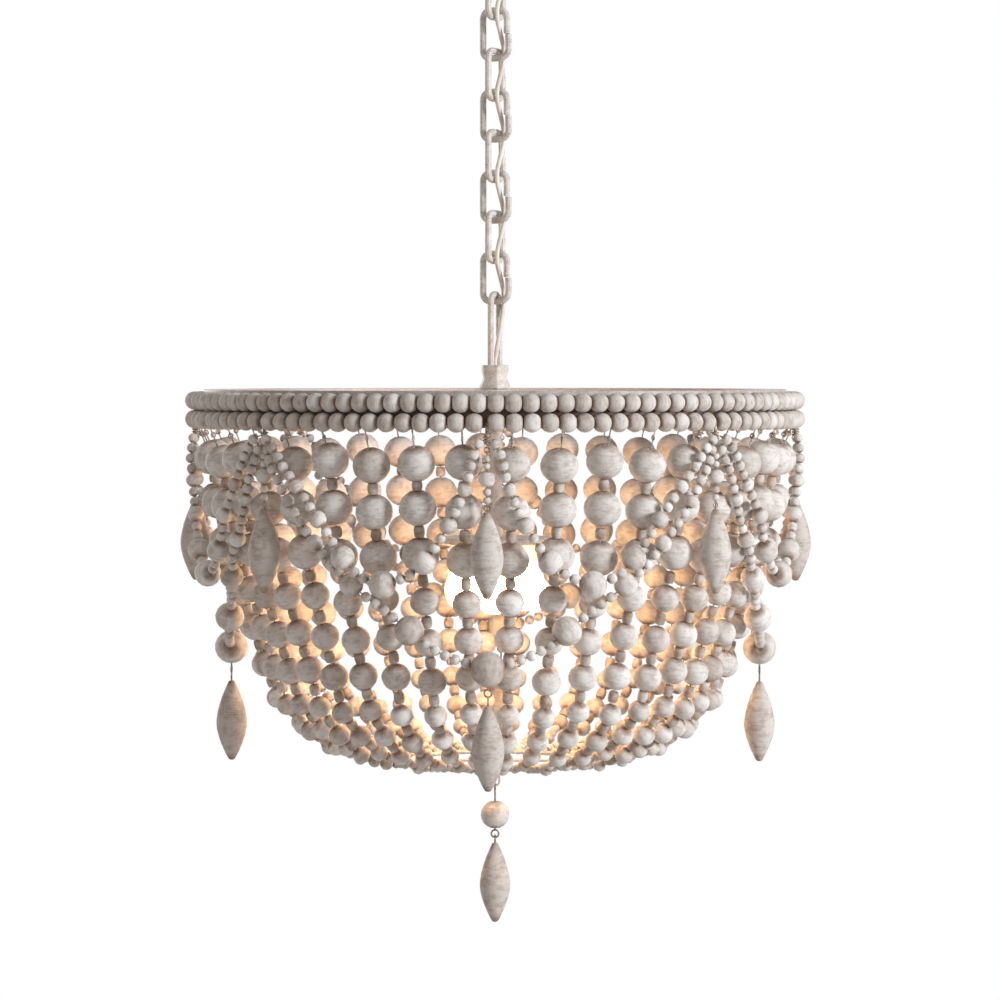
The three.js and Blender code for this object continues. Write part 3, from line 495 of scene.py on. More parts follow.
def through(a, b, c, d, t):
    """A point on the smooth curve from b to c, with a and d as its neighbours."""
    k0 = 0.0
    k1 = k0 + math.dist(a, b) ** 0.5
    k2 = k1 + math.dist(b, c) ** 0.5
    k3 = k2 + math.dist(c, d) ** 0.5
    x = k1 + t * (k2 - k1)
    a, b, c, d = (np.array(p, float) for p in (a, b, c, d))
    first, second, third = between(a, b, k0, k1, x), between(b, c, k1, k2, x), between(c, d, k2, k3, x)
    return between(between(first, second, k0, k2, x), between(second, third, k1, k3, x), k1, k2, x)


def route_places(shares, sag, stand_off):
    """Places along a route: the turn from the anchor, the drop, and the way so far."""
    route = [(turn * BAY, sink * sag) for turn, sink in shares]
    first = (2 * route[0][0] - route[1][0], 2 * route[0][1] - route[1][1])
    last = (2 * route[-1][0] - route[-2][0], 2 * route[-1][1] - route[-2][1])
    spots = [first, *route, last]
    flat = [through(*spots[i:i + 4], k / ROUTE_STEPS)
            for i in range(len(route) - 1) for k in range(ROUTE_STEPS)]
    flat.append(route[-1])
    places, way = [], 0.0
    for here, before in zip(flat, [flat[0]] + flat[:-1]):
        radius = RIM_RADIUS + stand_off * here[1] / sag
        way += math.hypot(math.radians(here[0] - before[0]) * radius, here[1] - before[1])
        places.append((here[0], here[1], way))
    return places


def half_garland(anchor, hand, beads, lowest, places):
    """Beads strung along a route: azimuth, drop, size, and share of the whole sag."""
    spots, reach = [], 0
    for diameter in beads:
        reach += diameter
        wanted = (reach - diameter / 2) / (sum(beads) + lowest / 2) * places[-1][2]
        turn, drop, _ = next(p for p in places if p[2] >= wanted)
        spots.append((anchor + hand * turn, drop, diameter, drop / places[-1][1]))
    return spots


long_places = route_places(LONG_SHARES, LONG_SAG, LONG_STAND_OFF)
bare_places = route_places(BARE_SHARES, SWAG_SAG, SWAG_STAND_OFF)
shared_places = route_places(SHARED_SHARES, SWAG_SAG, SWAG_STAND_OFF)
print("half a long garland runs", round(long_places[-1][2]), "mm")

# %% [markdown]
# A hanging string is also taut: between two beads that rest on something, it can't sag inwards. So after
# each bead has found its seat, the line is pulled straight between neighbours in a few passes.

# %% Seats on the strands
START_RADIUS = RIM_RADIUS + 0.8
SEAT_GAP, SEAT_STEP, SEAT_STEPS = 0.45, 0.25, 124
NEIGHBOURHOOD = 62
PULLS = 5
LENGTH_ON_WIRE_SHARE = 0.97


def seated(azimuth, drop, diameter, floor, obstacles):
    """The radius at which a bead clears all that lies behind it."""
    foot = around(azimuth, floor, drop)
    near = [(c, d) for c, d in obstacles if (c - foot).length < NEIGHBOURHOOD * MM]
    for step in range(SEAT_STEPS):
        radius = floor + step * SEAT_STEP
        centre = around(azimuth, radius, drop)
        if all((c - centre).length > ((d + diameter) / 2 + SEAT_GAP) * MM for c, d in near):
            return radius
    raise ValueError("a garland bead finds no seat")


def garland(halves, lowest, stand_off, obstacles):
    """Beads and ends of a garland between two anchors; each half is its anchor, beads and places."""
    (left, beads, places), (right, beads_right, places_right) = halves
    spots = half_garland(left, 1, beads, lowest, places)
    spots.append((left + places[-1][0], places[-1][1], lowest, 1))
    spots += half_garland(right, -1, beads_right, lowest, places_right)[::-1]
    floors = [START_RADIUS + (RIM_RADIUS + stand_off - START_RADIUS) * sink for _, _, _, sink in spots]
    seats = [seated(*spot[:3], floor, obstacles) for spot, floor in zip(spots, floors)]
    radii = [START_RADIUS, *seats, START_RADIUS]
    for _ in range(PULLS):
        for i in range(1, len(radii) - 1):
            radii[i] = max(radii[i], (radii[i - 1] + radii[i + 1]) / 2)
    placed = [(around(spot[0], seated(*spot[:3], radius, obstacles), spot[1]), spot[2])
              for spot, radius in zip(spots, radii[1:-1])]
    ends = [around(left + places[0][0], START_RADIUS, places[0][1]),
            around(right - places_right[0][0], START_RADIUS, places_right[0][1])]
    return placed, ends


def garland_piece(name, beads, ends):
    points = [ends[0]] + [c for c, _ in beads] + [ends[1]]
    parts = []
    for k, (centre, diameter) in enumerate(beads):
        along = (points[k + 2] - points[k]).normalized()
        parts.append(bead(centre, along, diameter, diameter * LENGTH_ON_WIRE_SHARE))
    wood = joined(name + "_beads", parts)
    thread = wire(name + "_wire", points, FINE_WIRE)
    register(wood, "lamp_body", name)
    register(thread, "lamp_body")
    wooden.append(wood)
    washed.append(thread)


# %% Long garlands first, then the short swags beside them
behind = [b for n in range(BAYS * STRANDS_PER_BAY) for b in strand_beads((n + 0.5) * STRAND_PITCH, n)]
strand_count = len(behind)
lows = []
for k in range(BAYS // 2):
    halves = [((2 * k + hand) * BAY, LONG_HALF, long_places) for hand in (-1, 1)]
    beads, ends = garland(halves, LONG_LOWEST, LONG_STAND_OFF, behind[:strand_count])
    behind.extend(beads)
    lows.append(beads[len(LONG_HALF)][0])
    garland_piece(f"long_garland_{k + 1}", beads, ends)
print("long garland beads", len(behind) - strand_count)
print("lowest beads at", [round((HOOP_TOP - low.z) / MM, 1) for low in lows], "mm under the hoop's top")
for k in range(BAYS):
    pair = [(SWAG_BARE, bare_places), (SWAG_SHARED, shared_places)][::1 if k % 2 == 0 else -1]
    halves = [(k * BAY, *pair[0]), ((k + 1) * BAY, *pair[1])]
    beads, ends = garland(halves, SWAG_LOWEST, SWAG_STAND_OFF, behind)
    garland_piece(f"swag_{k + 1}", beads, ends)
print("swag beads", len(beads), "in each")

# %% [markdown]
# ## Drops and spindles
# At each anchor a short string of beads ends in a spindle, a long pointed bead turned between centres.
# Each drop swings on its wire, so each one is a body of its own and nothing of it is joined to the strands.

# %% Upper drops
# A bead is its diameter and drop, and an eye is its drop, its radius and the thickness of its wire.
DROP_BEADS = [(6.6, 56), (6.6, 62.6), (14.4, 73), (7.4, 84), (6.6, 91)]
DROP_RADIUS, DROP_SPINDLE = 272, 137
DROP_WIRE_ENDS = (49.4, 101.5)
DROP_EYES = [(49, 2.2, 1.1), (97.3, 2.4, 1.2)]
SPINDLE_TONE = 0.95


def hang(name, node, body, wood_parts, wire_parts):
    wood = joined(name, wood_parts)
    metal = joined(name + "_wire", wire_parts)
    register(wood, body, node)
    register(metal, body)
    wooden.append(wood)
    wiry.append(metal)


def spindle(centre):
    return placed_copy(SPINDLE, centre, UP, usual_tone=SPINDLE_TONE)


for k in range(BAYS):
    azimuth = k * BAY
    side = outward(azimuth + 90)
    beads = [bead(around(azimuth, DROP_RADIUS, drop), DOWN, d, d * SEATED_SHARE) for d, drop in DROP_BEADS]
    beads.append(spindle(around(azimuth, DROP_RADIUS, DROP_SPINDLE)))
    threads = [wire("stem", [around(azimuth, DROP_RADIUS, drop) for drop in DROP_WIRE_ENDS], THREAD)]
    for drop, radius, thickness in DROP_EYES:
        threads.append(wire_eye(around(azimuth, DROP_RADIUS, drop), side, radius, thickness))
    hang(f"drop_{k + 1}_beads", f"drop_{k + 1}", f"drop_{k + 1}", beads, threads)
print("upper drops", BAYS, "with", len(DROP_BEADS), "beads and a spindle each")

# %% [markdown]
# Under the lowest bead of each long garland hangs a spindle in a ring of thicker wire. The garland was
# laid first, so the drop takes its distance from the axis from that bead.

# %% Lower drops
LOOP_WIRE, LOOP_RADIUS, LOOP_DROP = 1.6, 3.2, 254.2
LOWER_WIRE_ENDS = [(248, 251.4), (257, 267)]
LOWER_SPINDLE = 301

for k, low in enumerate(lows):
    azimuth = k * BAY * 2
    reach = math.hypot(low.x, low.y) / MM
    wood = spindle(around(azimuth, reach, LOWER_SPINDLE))
    loop_centre = around(azimuth, reach, LOOP_DROP)
    threads = [wire_eye(loop_centre, outward(azimuth + 90), LOOP_RADIUS, LOOP_WIRE)]
    for ends in LOWER_WIRE_ENDS:
        threads.append(wire("stem", [around(azimuth, reach, drop) for drop in ends], LOOP_WIRE))
    hang(f"lower_drop_{k + 1}_spindle", f"lower_drop_{k + 1}", f"lower_drop_{k + 1}", [wood], threads)
print("lower drops", len(lows), "at", round(reach, 1), "mm from the axis")

# %% [markdown]
# On the axis hang a large bead and a spindle, each on a ring of wire that is crosswise to the ring above
# it, so each of the two can swing by itself.

# %% Bottom drop on the axis
BOTTOM_EYE = 3.4
BALL_WIDTH, BALL_LENGTH, BALL_DROP = 26, 25.4, 386.5
BALL_EYES, BALL_WIRE_ENDS = (361.1, 403.9), (364.6, 401)
POINT_EYE, POINT_WIRE_ENDS, POINT_DROP = 408.4, (411.6, 414), 448.4

ball = bead(on_axis(BALL_DROP), DOWN, BALL_WIDTH, BALL_LENGTH)
threads = [wire_eye(on_axis(BALL_EYES[0]), ALONG_Y, BOTTOM_EYE, LOOP_WIRE),
           wire("stem", [on_axis(drop) for drop in BALL_WIRE_ENDS], LOOP_WIRE),
           wire_eye(on_axis(BALL_EYES[1]), ALONG_X, BOTTOM_EYE, LOOP_WIRE)]
hang("bottom_ball", "bottom_bead", "bottom_bead", [ball], threads)
point = spindle(on_axis(POINT_DROP))
threads = [wire_eye(on_axis(POINT_EYE), ALONG_Y, BOTTOM_EYE, LOOP_WIRE),
           wire("stem", [on_axis(drop) for drop in POINT_WIRE_ENDS], LOOP_WIRE)]
hang("bottom_point", "bottom_spindle", "bottom_spindle", [point], threads)
print("lowest point", round(min(v.co.z for v in point.data.vertices) / MM, 1), "mm")

# %% [markdown]
# ## Bottom ring
# All the strands end in one ring of thicker wire. Two wires cross it and carry the eye of the bottom drop,
# an upright loop with straight sides.

# %% Bottom ring and its eye
RING_WIRE, SPOKE_WIRE = 4, 3
EYE_DROP, EYE_RADIUS, EYE_RISE, EYE_WIRE = 348.5, 4, 7.5, 2

ring = [around(a, RING_RADIUS, RING_DROP) for a in range(0, 360, 6)]
parts = [wire("ring", ring, RING_WIRE, fineness=2, closed=True)]
for azimuth in (0, 90):
    spoke = [around(azimuth, RING_RADIUS, RING_DROP), around(azimuth + 180, RING_RADIUS, RING_DROP)]
    parts.append(wire("spoke", spoke, SPOKE_WIRE, fineness=1))
eye = [on_axis(EYE_DROP - EYE_RADIUS * math.cos(a) - math.copysign(EYE_RISE, math.cos(a)))
       + ALONG_X * EYE_RADIUS * math.sin(a) * MM
       for a in np.linspace(0, math.tau, 20, endpoint=False)]
parts.append(wire("eye", eye, EYE_WIRE, fineness=1, closed=True))
bottom_ring = joined("gathering_ring", parts)
register(bottom_ring, "lamp_body", "bottom_ring")
iron.append(bottom_ring)
print("bottom ring faces", len(bottom_ring.data.polygons))

# %% [markdown]
# ## Hoop
# The hoop is a rolled flat band of iron. It starts as an open cylinder, gets its wall inwards from the
# outer face, and has its edges rounded, because even a sharp edge catches a thin line of light.

# %% Hoop
HOOP_RADIUS, HOOP_HEIGHT, HOOP_WALL = 263, 31, 3
HOOP_EDGE = 0.6


def finished_iron(piece, node, body, angle=35):
    smooth(piece, angle)
    register(piece, body, node)
    iron.append(piece)


def rounded_edges(piece, width, corner_angle=30):
    alone(piece)
    rounding = piece.modifiers.new("rounding", "BEVEL")
    rounding.width = width * MM
    rounding.segments = 2
    rounding.limit_method = "ANGLE"
    rounding.angle_limit = math.radians(corner_angle)
    bpy.ops.object.modifier_apply(modifier="rounding")


def moved(piece, place, turn=0):
    """Moves and turns the mesh, so that the object itself stays at the origin."""
    piece.data.transform(Matrix.Translation(place) @ Matrix.Rotation(math.radians(turn), 4, "Z"))


nothing_selected()
bpy.ops.mesh.primitive_cylinder_add(vertices=160, radius=HOOP_RADIUS * MM, depth=HOOP_HEIGHT * MM,
                                    end_fill_type="NOTHING", location=on_axis(HOOP_HEIGHT / 2))
hoop = bpy.context.object
hoop.name = "hoop_band"
bpy.ops.object.transform_apply(location=True, rotation=True, scale=True)
wall = hoop.modifiers.new("wall", "SOLIDIFY")
wall.thickness = HOOP_WALL * MM
wall.offset = -1
bpy.ops.object.modifier_apply(modifier="wall")
rounded_edges(hoop, HOOP_EDGE)
finished_iron(hoop, "hoop", "lamp_body")
print("hoop faces", len(hoop.data.polygons))

# %% [markdown]
# ## Chain
# The chain is bent from round wire, with a butt joint in one limb of each link. One link is modelled and
# copied. Each copy is turned a quarter further than the last, and some of them half a turn more, so that
# the joints face several ways.

# %% Chain links
EYE_FOOT = -48.5 * MM
LINK_COUNT = 8
LINK_PITCH, LINK_SEAT = 36.5 * MM, 6.3 * MM
LINK_LENGTH, LINK_WIDTH, LINK_CORNER, LINK_STEP = 42.8, 24.6, 7, 1.7
CUT_HALF = 0.3
CHAIN_WIRE, CHAIN_FINENESS = 6, 3
CHAIN_TURN = -28
ARC_STEPS = 5


def link_form(length, width, corner, thickness, step):
    """An oblong of wire in the XZ plane; one limb is cut at its middle and its lower half stands out."""
    flat, straight = width / 2 - corner, length / 2 - corner
    points = [Vector((width / 2, 0, CUT_HALF))]
    for quarter, (side, up) in enumerate(((1, 1), (-1, 1), (-1, -1), (1, -1))):
        for k in range(ARC_STEPS + 1):
            a = (quarter + k / ARC_STEPS) * math.pi / 2
            out = step * k / ARC_STEPS if quarter == 3 else 0
            across, rise = side * flat + corner * math.cos(a) + out, up * straight + corner * math.sin(a)
            points.append(Vector((across, 0, rise)))
    points.append(Vector((width / 2 + step, 0, -CUT_HALF)))
    return wire("link", [p * MM for p in points], thickness, CHAIN_FINENESS)


LINK = link_form(LINK_LENGTH, LINK_WIDTH, LINK_CORNER, CHAIN_WIRE, LINK_STEP)
for k in range(LINK_COUNT):
    link = put(f"link_{k + 1}_iron", LINK.data.copy())
    top = EYE_FOOT - k * LINK_PITCH + LINK_SEAT
    joint_side = 180 if k % 4 in (1, 2) else 0
    moved(link, (0, 0, top - LINK_LENGTH / 2 * MM), CHAIN_TURN + 90 * (k + 1) + joint_side)
    finished_iron(link, f"chain_link_{k + 1}", f"link_{k + 1}")
bpy.data.objects.remove(LINK)
print("links", LINK_COUNT, "from", round(EYE_FOOT / MM, 1), "mm")

# %% [markdown]
# ## Stem loop and collar
# The chain carries a long loop of the same wire. Its legs end in a collar, a waisted six-sided cap, which
# is turned here with only six segments and then has its corners rounded.

# %% Stem loop and collar
LOOP_HALF = 7.5
COLLAR_TURN, COLLAR_EDGE = 10, 0.7
COLLAR_PROFILE = [(13.4, 0), (15, 1.2), (15, 3.6), (12.8, 7.4), (12, 10), (12.2, 13), (13.5, 17.4),
                  (13.5, 20.8), (12.5, 22)]
loop_top = EYE_FOOT - LINK_COUNT * LINK_PITCH + LINK_SEAT
chain_facing = Vector((math.cos(math.radians(CHAIN_TURN)), math.sin(math.radians(CHAIN_TURN)), 0))
chain_side = Vector((-chain_facing.y, chain_facing.x, 0))

arch_centre = Vector((0, 0, loop_top - LOOP_HALF * MM))
arch = [arch_centre + (chain_side * math.cos(a) + UP * math.sin(a)) * LOOP_HALF * MM
        for a in np.linspace(0, math.pi, 13)]
foot_z = span("stem_loop")[0]
legs = [Vector((*(chain_side * side * LOOP_HALF * MM).xy, foot_z)) for side in (1, -1)]
stem_loop = wire("stem_loop_iron", [legs[0], *arch, legs[1]], CHAIN_WIRE, CHAIN_FINENESS)
finished_iron(stem_loop, "stem_loop", "lamp_body")
collar_low, collar_high = span("loop_collar")
collar = turned("collar_iron", COLLAR_PROFILE, segments=6)
moved(collar, (0, 0, collar_low), COLLAR_TURN)
rounded_edges(collar, COLLAR_EDGE, corner_angle=25)
finished_iron(collar, "loop_collar", "lamp_body", angle=30)
print("stem loop is", round((loop_top - foot_z) / MM, 1), "mm long")

# %% [markdown]
# ## Hub, arms and stem
# Two flat bars cross in the hub and reach the hoop, and a tube runs down from the hub to the lamps.
# All of this is out of sight in the photograph, so it is plain stock: round, flat bar and tube.

# %% Hub, arms and stem
HUB_PROFILE = [(14.2, 0), (15, 0.8), (15, 8.2), (14.2, 9), (2.6, 9)]
ARM_LENGTH, ARM_WIDTH, ARM_THICKNESS = 517, 9, 5
TUBE_BORE, TUBE_RADIUS, TUBE_EDGE = 2.7, 6.5, 0.5
BAR_EDGE = 0.6


def rounded_bar(length, width, thickness):
    nothing_selected()
    bpy.ops.mesh.primitive_cube_add(size=1)
    bar = bpy.context.object
    bar.scale = (length * MM, width * MM, thickness * MM)
    bpy.ops.object.transform_apply(location=True, rotation=True, scale=True)
    rounded_edges(bar, BAR_EDGE)
    return bar


hub_low, hub_high = span("spider")
hub = turned("hub", HUB_PROFILE, segments=32)
moved(hub, (0, 0, hub_low))
arms = [rounded_bar(ARM_LENGTH, ARM_WIDTH, ARM_THICKNESS) for _ in range(2)]
for k, arm in enumerate(arms):
    moved(arm, (0, 0, (hub_low + hub_high) / 2), STRAND_PITCH / 2 + 90 * k)
finished_iron(joined("hub_and_arms", [hub, *arms]), "spider", "lamp_body")
stem_low, stem_high = span("stem")
stem_length = (stem_high - stem_low) / MM
tube_profile = [(TUBE_BORE, 0), (TUBE_RADIUS - TUBE_EDGE, 0), (TUBE_RADIUS, TUBE_EDGE),
                (TUBE_RADIUS, stem_length - TUBE_EDGE), (TUBE_RADIUS - TUBE_EDGE, stem_length),
                (TUBE_BORE, stem_length)]
tube = turned("stem_tube", tube_profile, segments=32)
moved(tube, (0, 0, stem_low))
finished_iron(tube, "stem", "lamp_body")
print("stem is", round(stem_length, 1), "mm long")

# %% [markdown]
# ## Canopy
# The canopy is a dish spun from 2 mm sheet that hides the ceiling box; a flat bar across its mouth takes
# the screws. The first link hangs in the eye under it, a ring of the chain's wire on a turned boss.

# %% Canopy
DISH_OUTSIDE = [(59.4, 0), (60, -0.6), (60, -4.4), (57.6, -7.8), (52, -12), (44, -16.6), (35, -20.6),
                (27, -23.4), (20, -25), (17, -25.7), (8, -26), (1, -26)]
DISH_INSIDE = [(1, -24), (8, -24), (16.5, -23.7), (19.5, -23), (26.3, -21.4), (34.1, -18.7), (43, -14.8),
               (50.8, -10.3), (56, -6.2), (57.2, -4.6), (57.2, -0.6), (57.8, 0)]
BOSS_PROFILE = [(4, -32.4), (5, -31.6), (5, -27), (4.6, -26.2), (1, -26.2)]
CANOPY_EYE = 9.5
BAR_LENGTH, BAR_WIDTH, BAR_THICKNESS = 115, 22, 2

eye_centre = Vector((0, 0, EYE_FOOT + CANOPY_EYE * MM))
ring = [eye_centre + (chain_facing * math.sin(a) + UP * math.cos(a)) * CANOPY_EYE * MM
        for a in np.linspace(0, math.tau, 32, endpoint=False)]
boss = turned("boss", BOSS_PROFILE, segments=24)
eye = wire("ring", ring, CHAIN_WIRE, CHAIN_FINENESS, closed=True)
finished_iron(joined("canopy_eye", [eye, boss]), "canopy_loop", "canopy")
shell = turned("canopy_dish", DISH_INSIDE + DISH_OUTSIDE, segments=64)
crossbar = rounded_bar(BAR_LENGTH, BAR_WIDTH, BAR_THICKNESS)
moved(crossbar, (0, 0, -BAR_THICKNESS / 2 * MM))
finished_iron(joined("canopy_dish", [shell, crossbar]), "ceiling_canopy", "canopy")
print("canopy faces", len(shell.data.polygons))

# %% [markdown]
# ## Plate, holders and bulbs
# Inside the bowl a round plate carries three holders with frosted bulbs, whose warm light shows through
# the gaps between the beads. A bulb is turned from its tip up to the neck that sits in the holder.

# %% Plate, holders and bulbs
PLATE_PROFILE = [(51, -6), (52, -5.2), (52, -1.4), (50.6, 0), (2, 0)]
HOLDER_PROFILE = [(11.6, -16), (13, -15.2), (13, -3), (11.4, -1), (10, 0), (1, 0)]
BULB_PROFILE = [(1, -45), (6, -44.2), (11, -41.4), (14.8, -37), (17, -31), (17.4, -26), (16.4, -20),
                (13.8, -13), (10.6, -7), (8.6, -3), (8, 0)]
BULB_COUNT, BULB_RADIUS = 3, 33

plate_top = span("lamp_plate")[1]
plate = turned("plate_iron", PLATE_PROFILE, segments=64)
moved(plate, (0, 0, plate_top))
finished_iron(plate, "lamp_plate", "lamp_body")
holders, bulbs = [], []
for k in range(BULB_COUNT):
    spot = around(k * 360 / BULB_COUNT, BULB_RADIUS, 0)
    cup = turned(f"holder_{k + 1}", HOLDER_PROFILE, segments=32)
    moved(cup, (spot.x, spot.y, span(f"lampholder_{k + 1}")[1]))
    smooth(cup, angle=40)
    register(cup, "lamp_body", f"lampholder_{k + 1}")
    holders.append(cup)
    glass = turned(f"bulb_{k + 1}_glass", BULB_PROFILE, segments=32)
    moved(glass, (spot.x, spot.y, span(f"bulb_{k + 1}")[1]))
    smooth(glass, angle=60)
    register(glass, f"bulb_{k + 1}", f"bulb_{k + 1}")
    bulbs.append(glass)
print("bulbs", len(bulbs), "under a plate at", round(plate_top / MM, 1), "mm")

# %% [markdown]
# ## Supply lead
# The lead passes from the front to the back through each wide link, and so stays on one side of the
# chain. It runs down the collar and the stem to the plate. It is cut here at the middle of each link.

# %% Route of the lead
LEAD_ASIDE, LEAD_RISE, LEAD_TOP = 5.7, 6.15, 8
BESIDE_LOOP, ABOVE_COLLAR, ABOVE_PLATE = 28.9, 4.4, 1.2
LEAD_STEPS = 6
EASE_SHARE = 0.5


def crossing(k, rise):
    """A point in the corner where link k crosses the one above it."""
    a = math.radians(CHAIN_TURN + (45 if k % 2 == 0 else -45))
    reach = LEAD_ASIDE * math.sqrt(2) * MM
    height = EYE_FOOT - k * LINK_PITCH + LINK_SEAT / 2 + rise * MM
    return Vector((math.cos(a) * reach, math.sin(a) * reach, height))


def eased(points, steps):
    """Soft bends through the corners, as a round lead takes them."""
    dense = []
    for i in range(len(points) - 1):
        before = points[max(i - 1, 0)]
        after = points[min(i + 2, len(points) - 1)]
        for s in range(steps):
            t = s / steps
            p, q = points[i], points[i + 1]
            m0, m1 = (q - before) / 2 * EASE_SHARE, (after - p) / 2 * EASE_SHARE
            dense.append(p * (2 * t**3 - 3 * t**2 + 1) + m0 * (t**3 - 2 * t**2 + t)
                         + q * (3 * t**2 - 2 * t**3) + m1 * (t**3 - t**2))
    return dense + [points[-1]]


route = [Vector((*crossing(0, 0).xy, -LEAD_TOP * MM))]
for k in range(LINK_COUNT + 1):
    route += [crossing(k, LEAD_RISE), crossing(k, -LEAD_RISE)]
beside = chain_facing * LEAD_ASIDE * MM
route.append(Vector((*beside.xy, loop_top - BESIDE_LOOP * MM)))
route.append(Vector((0, 0, collar_high + ABOVE_COLLAR * MM)))
plate_end = Vector((0, 0, plate_top + ABOVE_PLATE * MM))
dense = eased(route, LEAD_STEPS)
print("points on the lead", len(dense) + 1)

# %% Lead in lengths
LEAD_SIZE, BEND_HALF = 4.4, 12
lead = []
for k in range(LINK_COUNT + 1):
    start = LEAD_STEPS * 2 * k + LEAD_STEPS // 2 if k else 0
    stop = LEAD_STEPS * (2 * k + 2) + LEAD_STEPS // 2
    points = dense[start:stop + 1] if k < LINK_COUNT else dense[start:] + [plate_end]
    length = wire(f"lead_{k + 1}", points, LEAD_SIZE, fineness=2)
    smooth(length, angle=60)
    if k == 0:
        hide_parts("supply_lead")
    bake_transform(length)
    lead.append(length)
print("lead lengths", len(lead))

for form in (BALL, RIM_BEAD, SMALL_BALL, BARREL, SPINDLE):
    bpy.data.objects.remove(form)

# %% [markdown]
# ## Materials
# Colours are written as sRGB hex values and turned to linear by one function. Pattern scales are worked
# out from sizes in millimetres: a noise of scale s repeats about once in 1 / s of its coordinate. The
# beads' attribute counts in millimetres, and Object coordinates count in metres.

# %% Colour and node helpers
BLACK, WHITE = (0, 0, 0, 1), (1, 1, 1, 1)


def linear(code):
    parts = [int(code[i:i + 2], 16) / 255 for i in (1, 3, 5)]
    return (*[c / 12.92 if c <= 0.04045 else ((c + 0.055) / 1.055) ** 2.4 for c in parts], 1)


def grey(value):
    return (value, value, value, 1)


def material(name):
    m = bpy.data.materials.new(name)
    m.use_nodes = True
    return m, m.node_tree, m.node_tree.nodes["Principled BSDF"]


def add(tree, kind, links=(), stops=(), **settings):
    """Adds a node with its settings, its links as (from, to), and the stops of a colour ramp."""
    node = tree.nodes.new(kind)
    for key, value in settings.items():
        if hasattr(node, key):
            setattr(node, key, value)
        else:
            node.inputs[key].default_value = value
    for source, target in links:
        socket = source.outputs[0] if hasattr(source, "outputs") else source
        tree.links.new(socket, node.inputs[target])
    if stops:
        elements = node.color_ramp.elements
        for element, (position, colour) in zip((elements[0], elements[1]), (stops[0], stops[-1])):
            element.position = position
            element.color = colour
        for position, colour in stops[1:-1]:
            elements.new(position).color = colour
    return node


print("#808080 is", round(linear("#808080")[0], 3), "in linear light")

# %% [markdown]
# ### Limed wood
# The beads are pale hardwood, washed with thin chalky paint and rubbed back on the lathe. The wash stays
# white on the round and lets grey-tan wood through in streaks that run round the bead; brown shows as open
# pores of 1 to 2 mm, in drifts. Round the drilled hole and on the small barrels the brown is bare wood and
# dust together with painted shade, which stands for the shadow in the crevices between neighbouring beads.
# The streaks are a noise that is stretched round the bead, and broad patches decide where they show.

# %% Limed wood: the wash and its streaks
STREAK, PATCH, PORE = 2.6, 9, 1.7
STREAK_STRETCH = (0.36, 0.36, 1.2)

limed_wood, tree, wood_shader = material("limed turned hardwood")
grain = add(tree, "ShaderNodeAttribute", attribute_name="grain").outputs["Vector"]
tone = add(tree, "ShaderNodeAttribute", attribute_name="tone").outputs["Fac"]
hole = add(tree, "ShaderNodeAttribute", attribute_name="hole").outputs["Fac"]
round_the_bead = add(tree, "ShaderNodeMapping", [(grain, "Vector")], Scale=STREAK_STRETCH)
streak = add(tree, "ShaderNodeTexNoise", [(round_the_bead, "Vector")],
             Scale=1 / STREAK, Detail=5.0, Roughness=0.6)
patch = add(tree, "ShaderNodeTexNoise", [(grain, "Vector")], Scale=1 / PATCH, Detail=3.0, Roughness=0.55)
wear = add(tree, "ShaderNodeMath", [(streak, 0), (patch, 1)], operation="MULTIPLY")
shown = add(tree, "ShaderNodeValToRGB", [(wear, 0)], [(0.2, BLACK), (0.36, WHITE)])
wash = add(tree, "ShaderNodeMix", [(shown, 0)], data_type="RGBA")
wash.inputs[6].default_value = linear("#EDEAE8")
wash.inputs[7].default_value = linear("#D1C9C2")
toned = add(tree, "ShaderNodeMix", [(tone, 0), (wash.outputs[2], 6)],
            data_type="RGBA", blend_type="MULTIPLY")
toned.inputs[7].default_value = linear("#D8D1CB")
print("streaks of", STREAK, "mm in patches of", PATCH, "mm")

# %% [markdown]
# The lathe leaves rings. On the real bead they are closer than 1 mm, and they are drawn at 1.6 mm here,
# so that they show. A wave of scale 1 / (pi p) has a band about every p.

# %% Limed wood: rings of the lathe
RING_PITCH = 1.6

rings = add(tree, "ShaderNodeTexWave", [(grain, "Vector")], bands_direction="Z",
            Scale=1 / (math.pi * RING_PITCH), Distortion=1.2, Detail=2.0)
ring_shade = add(tree, "ShaderNodeValToRGB", [(rings, 0)], [(0.0, grey(0.97)), (0.5, WHITE)])
ringed = add(tree, "ShaderNodeMix", [(toned.outputs[2], 6), (ring_shade, 7)],
             data_type="RGBA", blend_type="MULTIPLY")
ringed.inputs[0].default_value = 1
print("rings every", RING_PITCH, "mm")

# %% Limed wood: drilled ends, pores and surface
# Brown round the drilled hole is bare wood and dust, and also painted shade of the crevice where beads
# meet.
around_hole = add(tree, "ShaderNodeMath", [(hole, 0), (patch, 1)], operation="MULTIPLY")
dust_and_crevice_shade = add(tree, "ShaderNodeValToRGB", [(around_hole, 0)], [(0.1, BLACK), (0.55, grey(0.85))])
drilled = add(tree, "ShaderNodeMix", [(dust_and_crevice_shade, 0), (ringed.outputs[2], 6)], data_type="RGBA")
drilled.inputs[7].default_value = linear("#8A725E")
fleck = add(tree, "ShaderNodeTexNoise", [(grain, "Vector")], Scale=1 / PORE, Detail=2.0, Roughness=0.5)
flecks = add(tree, "ShaderNodeMath", [(fleck, 0), (patch, 1)], operation="MULTIPLY")
pores = add(tree, "ShaderNodeValToRGB", [(flecks, 0)], [(0.32, BLACK), (0.42, grey(0.52))])
open_pores = add(tree, "ShaderNodeMath", [(pores, 0), (tone, 1)], operation="MULTIPLY")
final = add(tree, "ShaderNodeMix", [(open_pores, 0), (drilled.outputs[2], 6)], data_type="RGBA")
final.inputs[7].default_value = linear("#948579")
height = add(tree, "ShaderNodeMath", [(rings, 0), (streak, 1)], operation="ADD")
relief = add(tree, "ShaderNodeBump", [(height, "Height")], Strength=0.25, Distance=0.25 * MM)
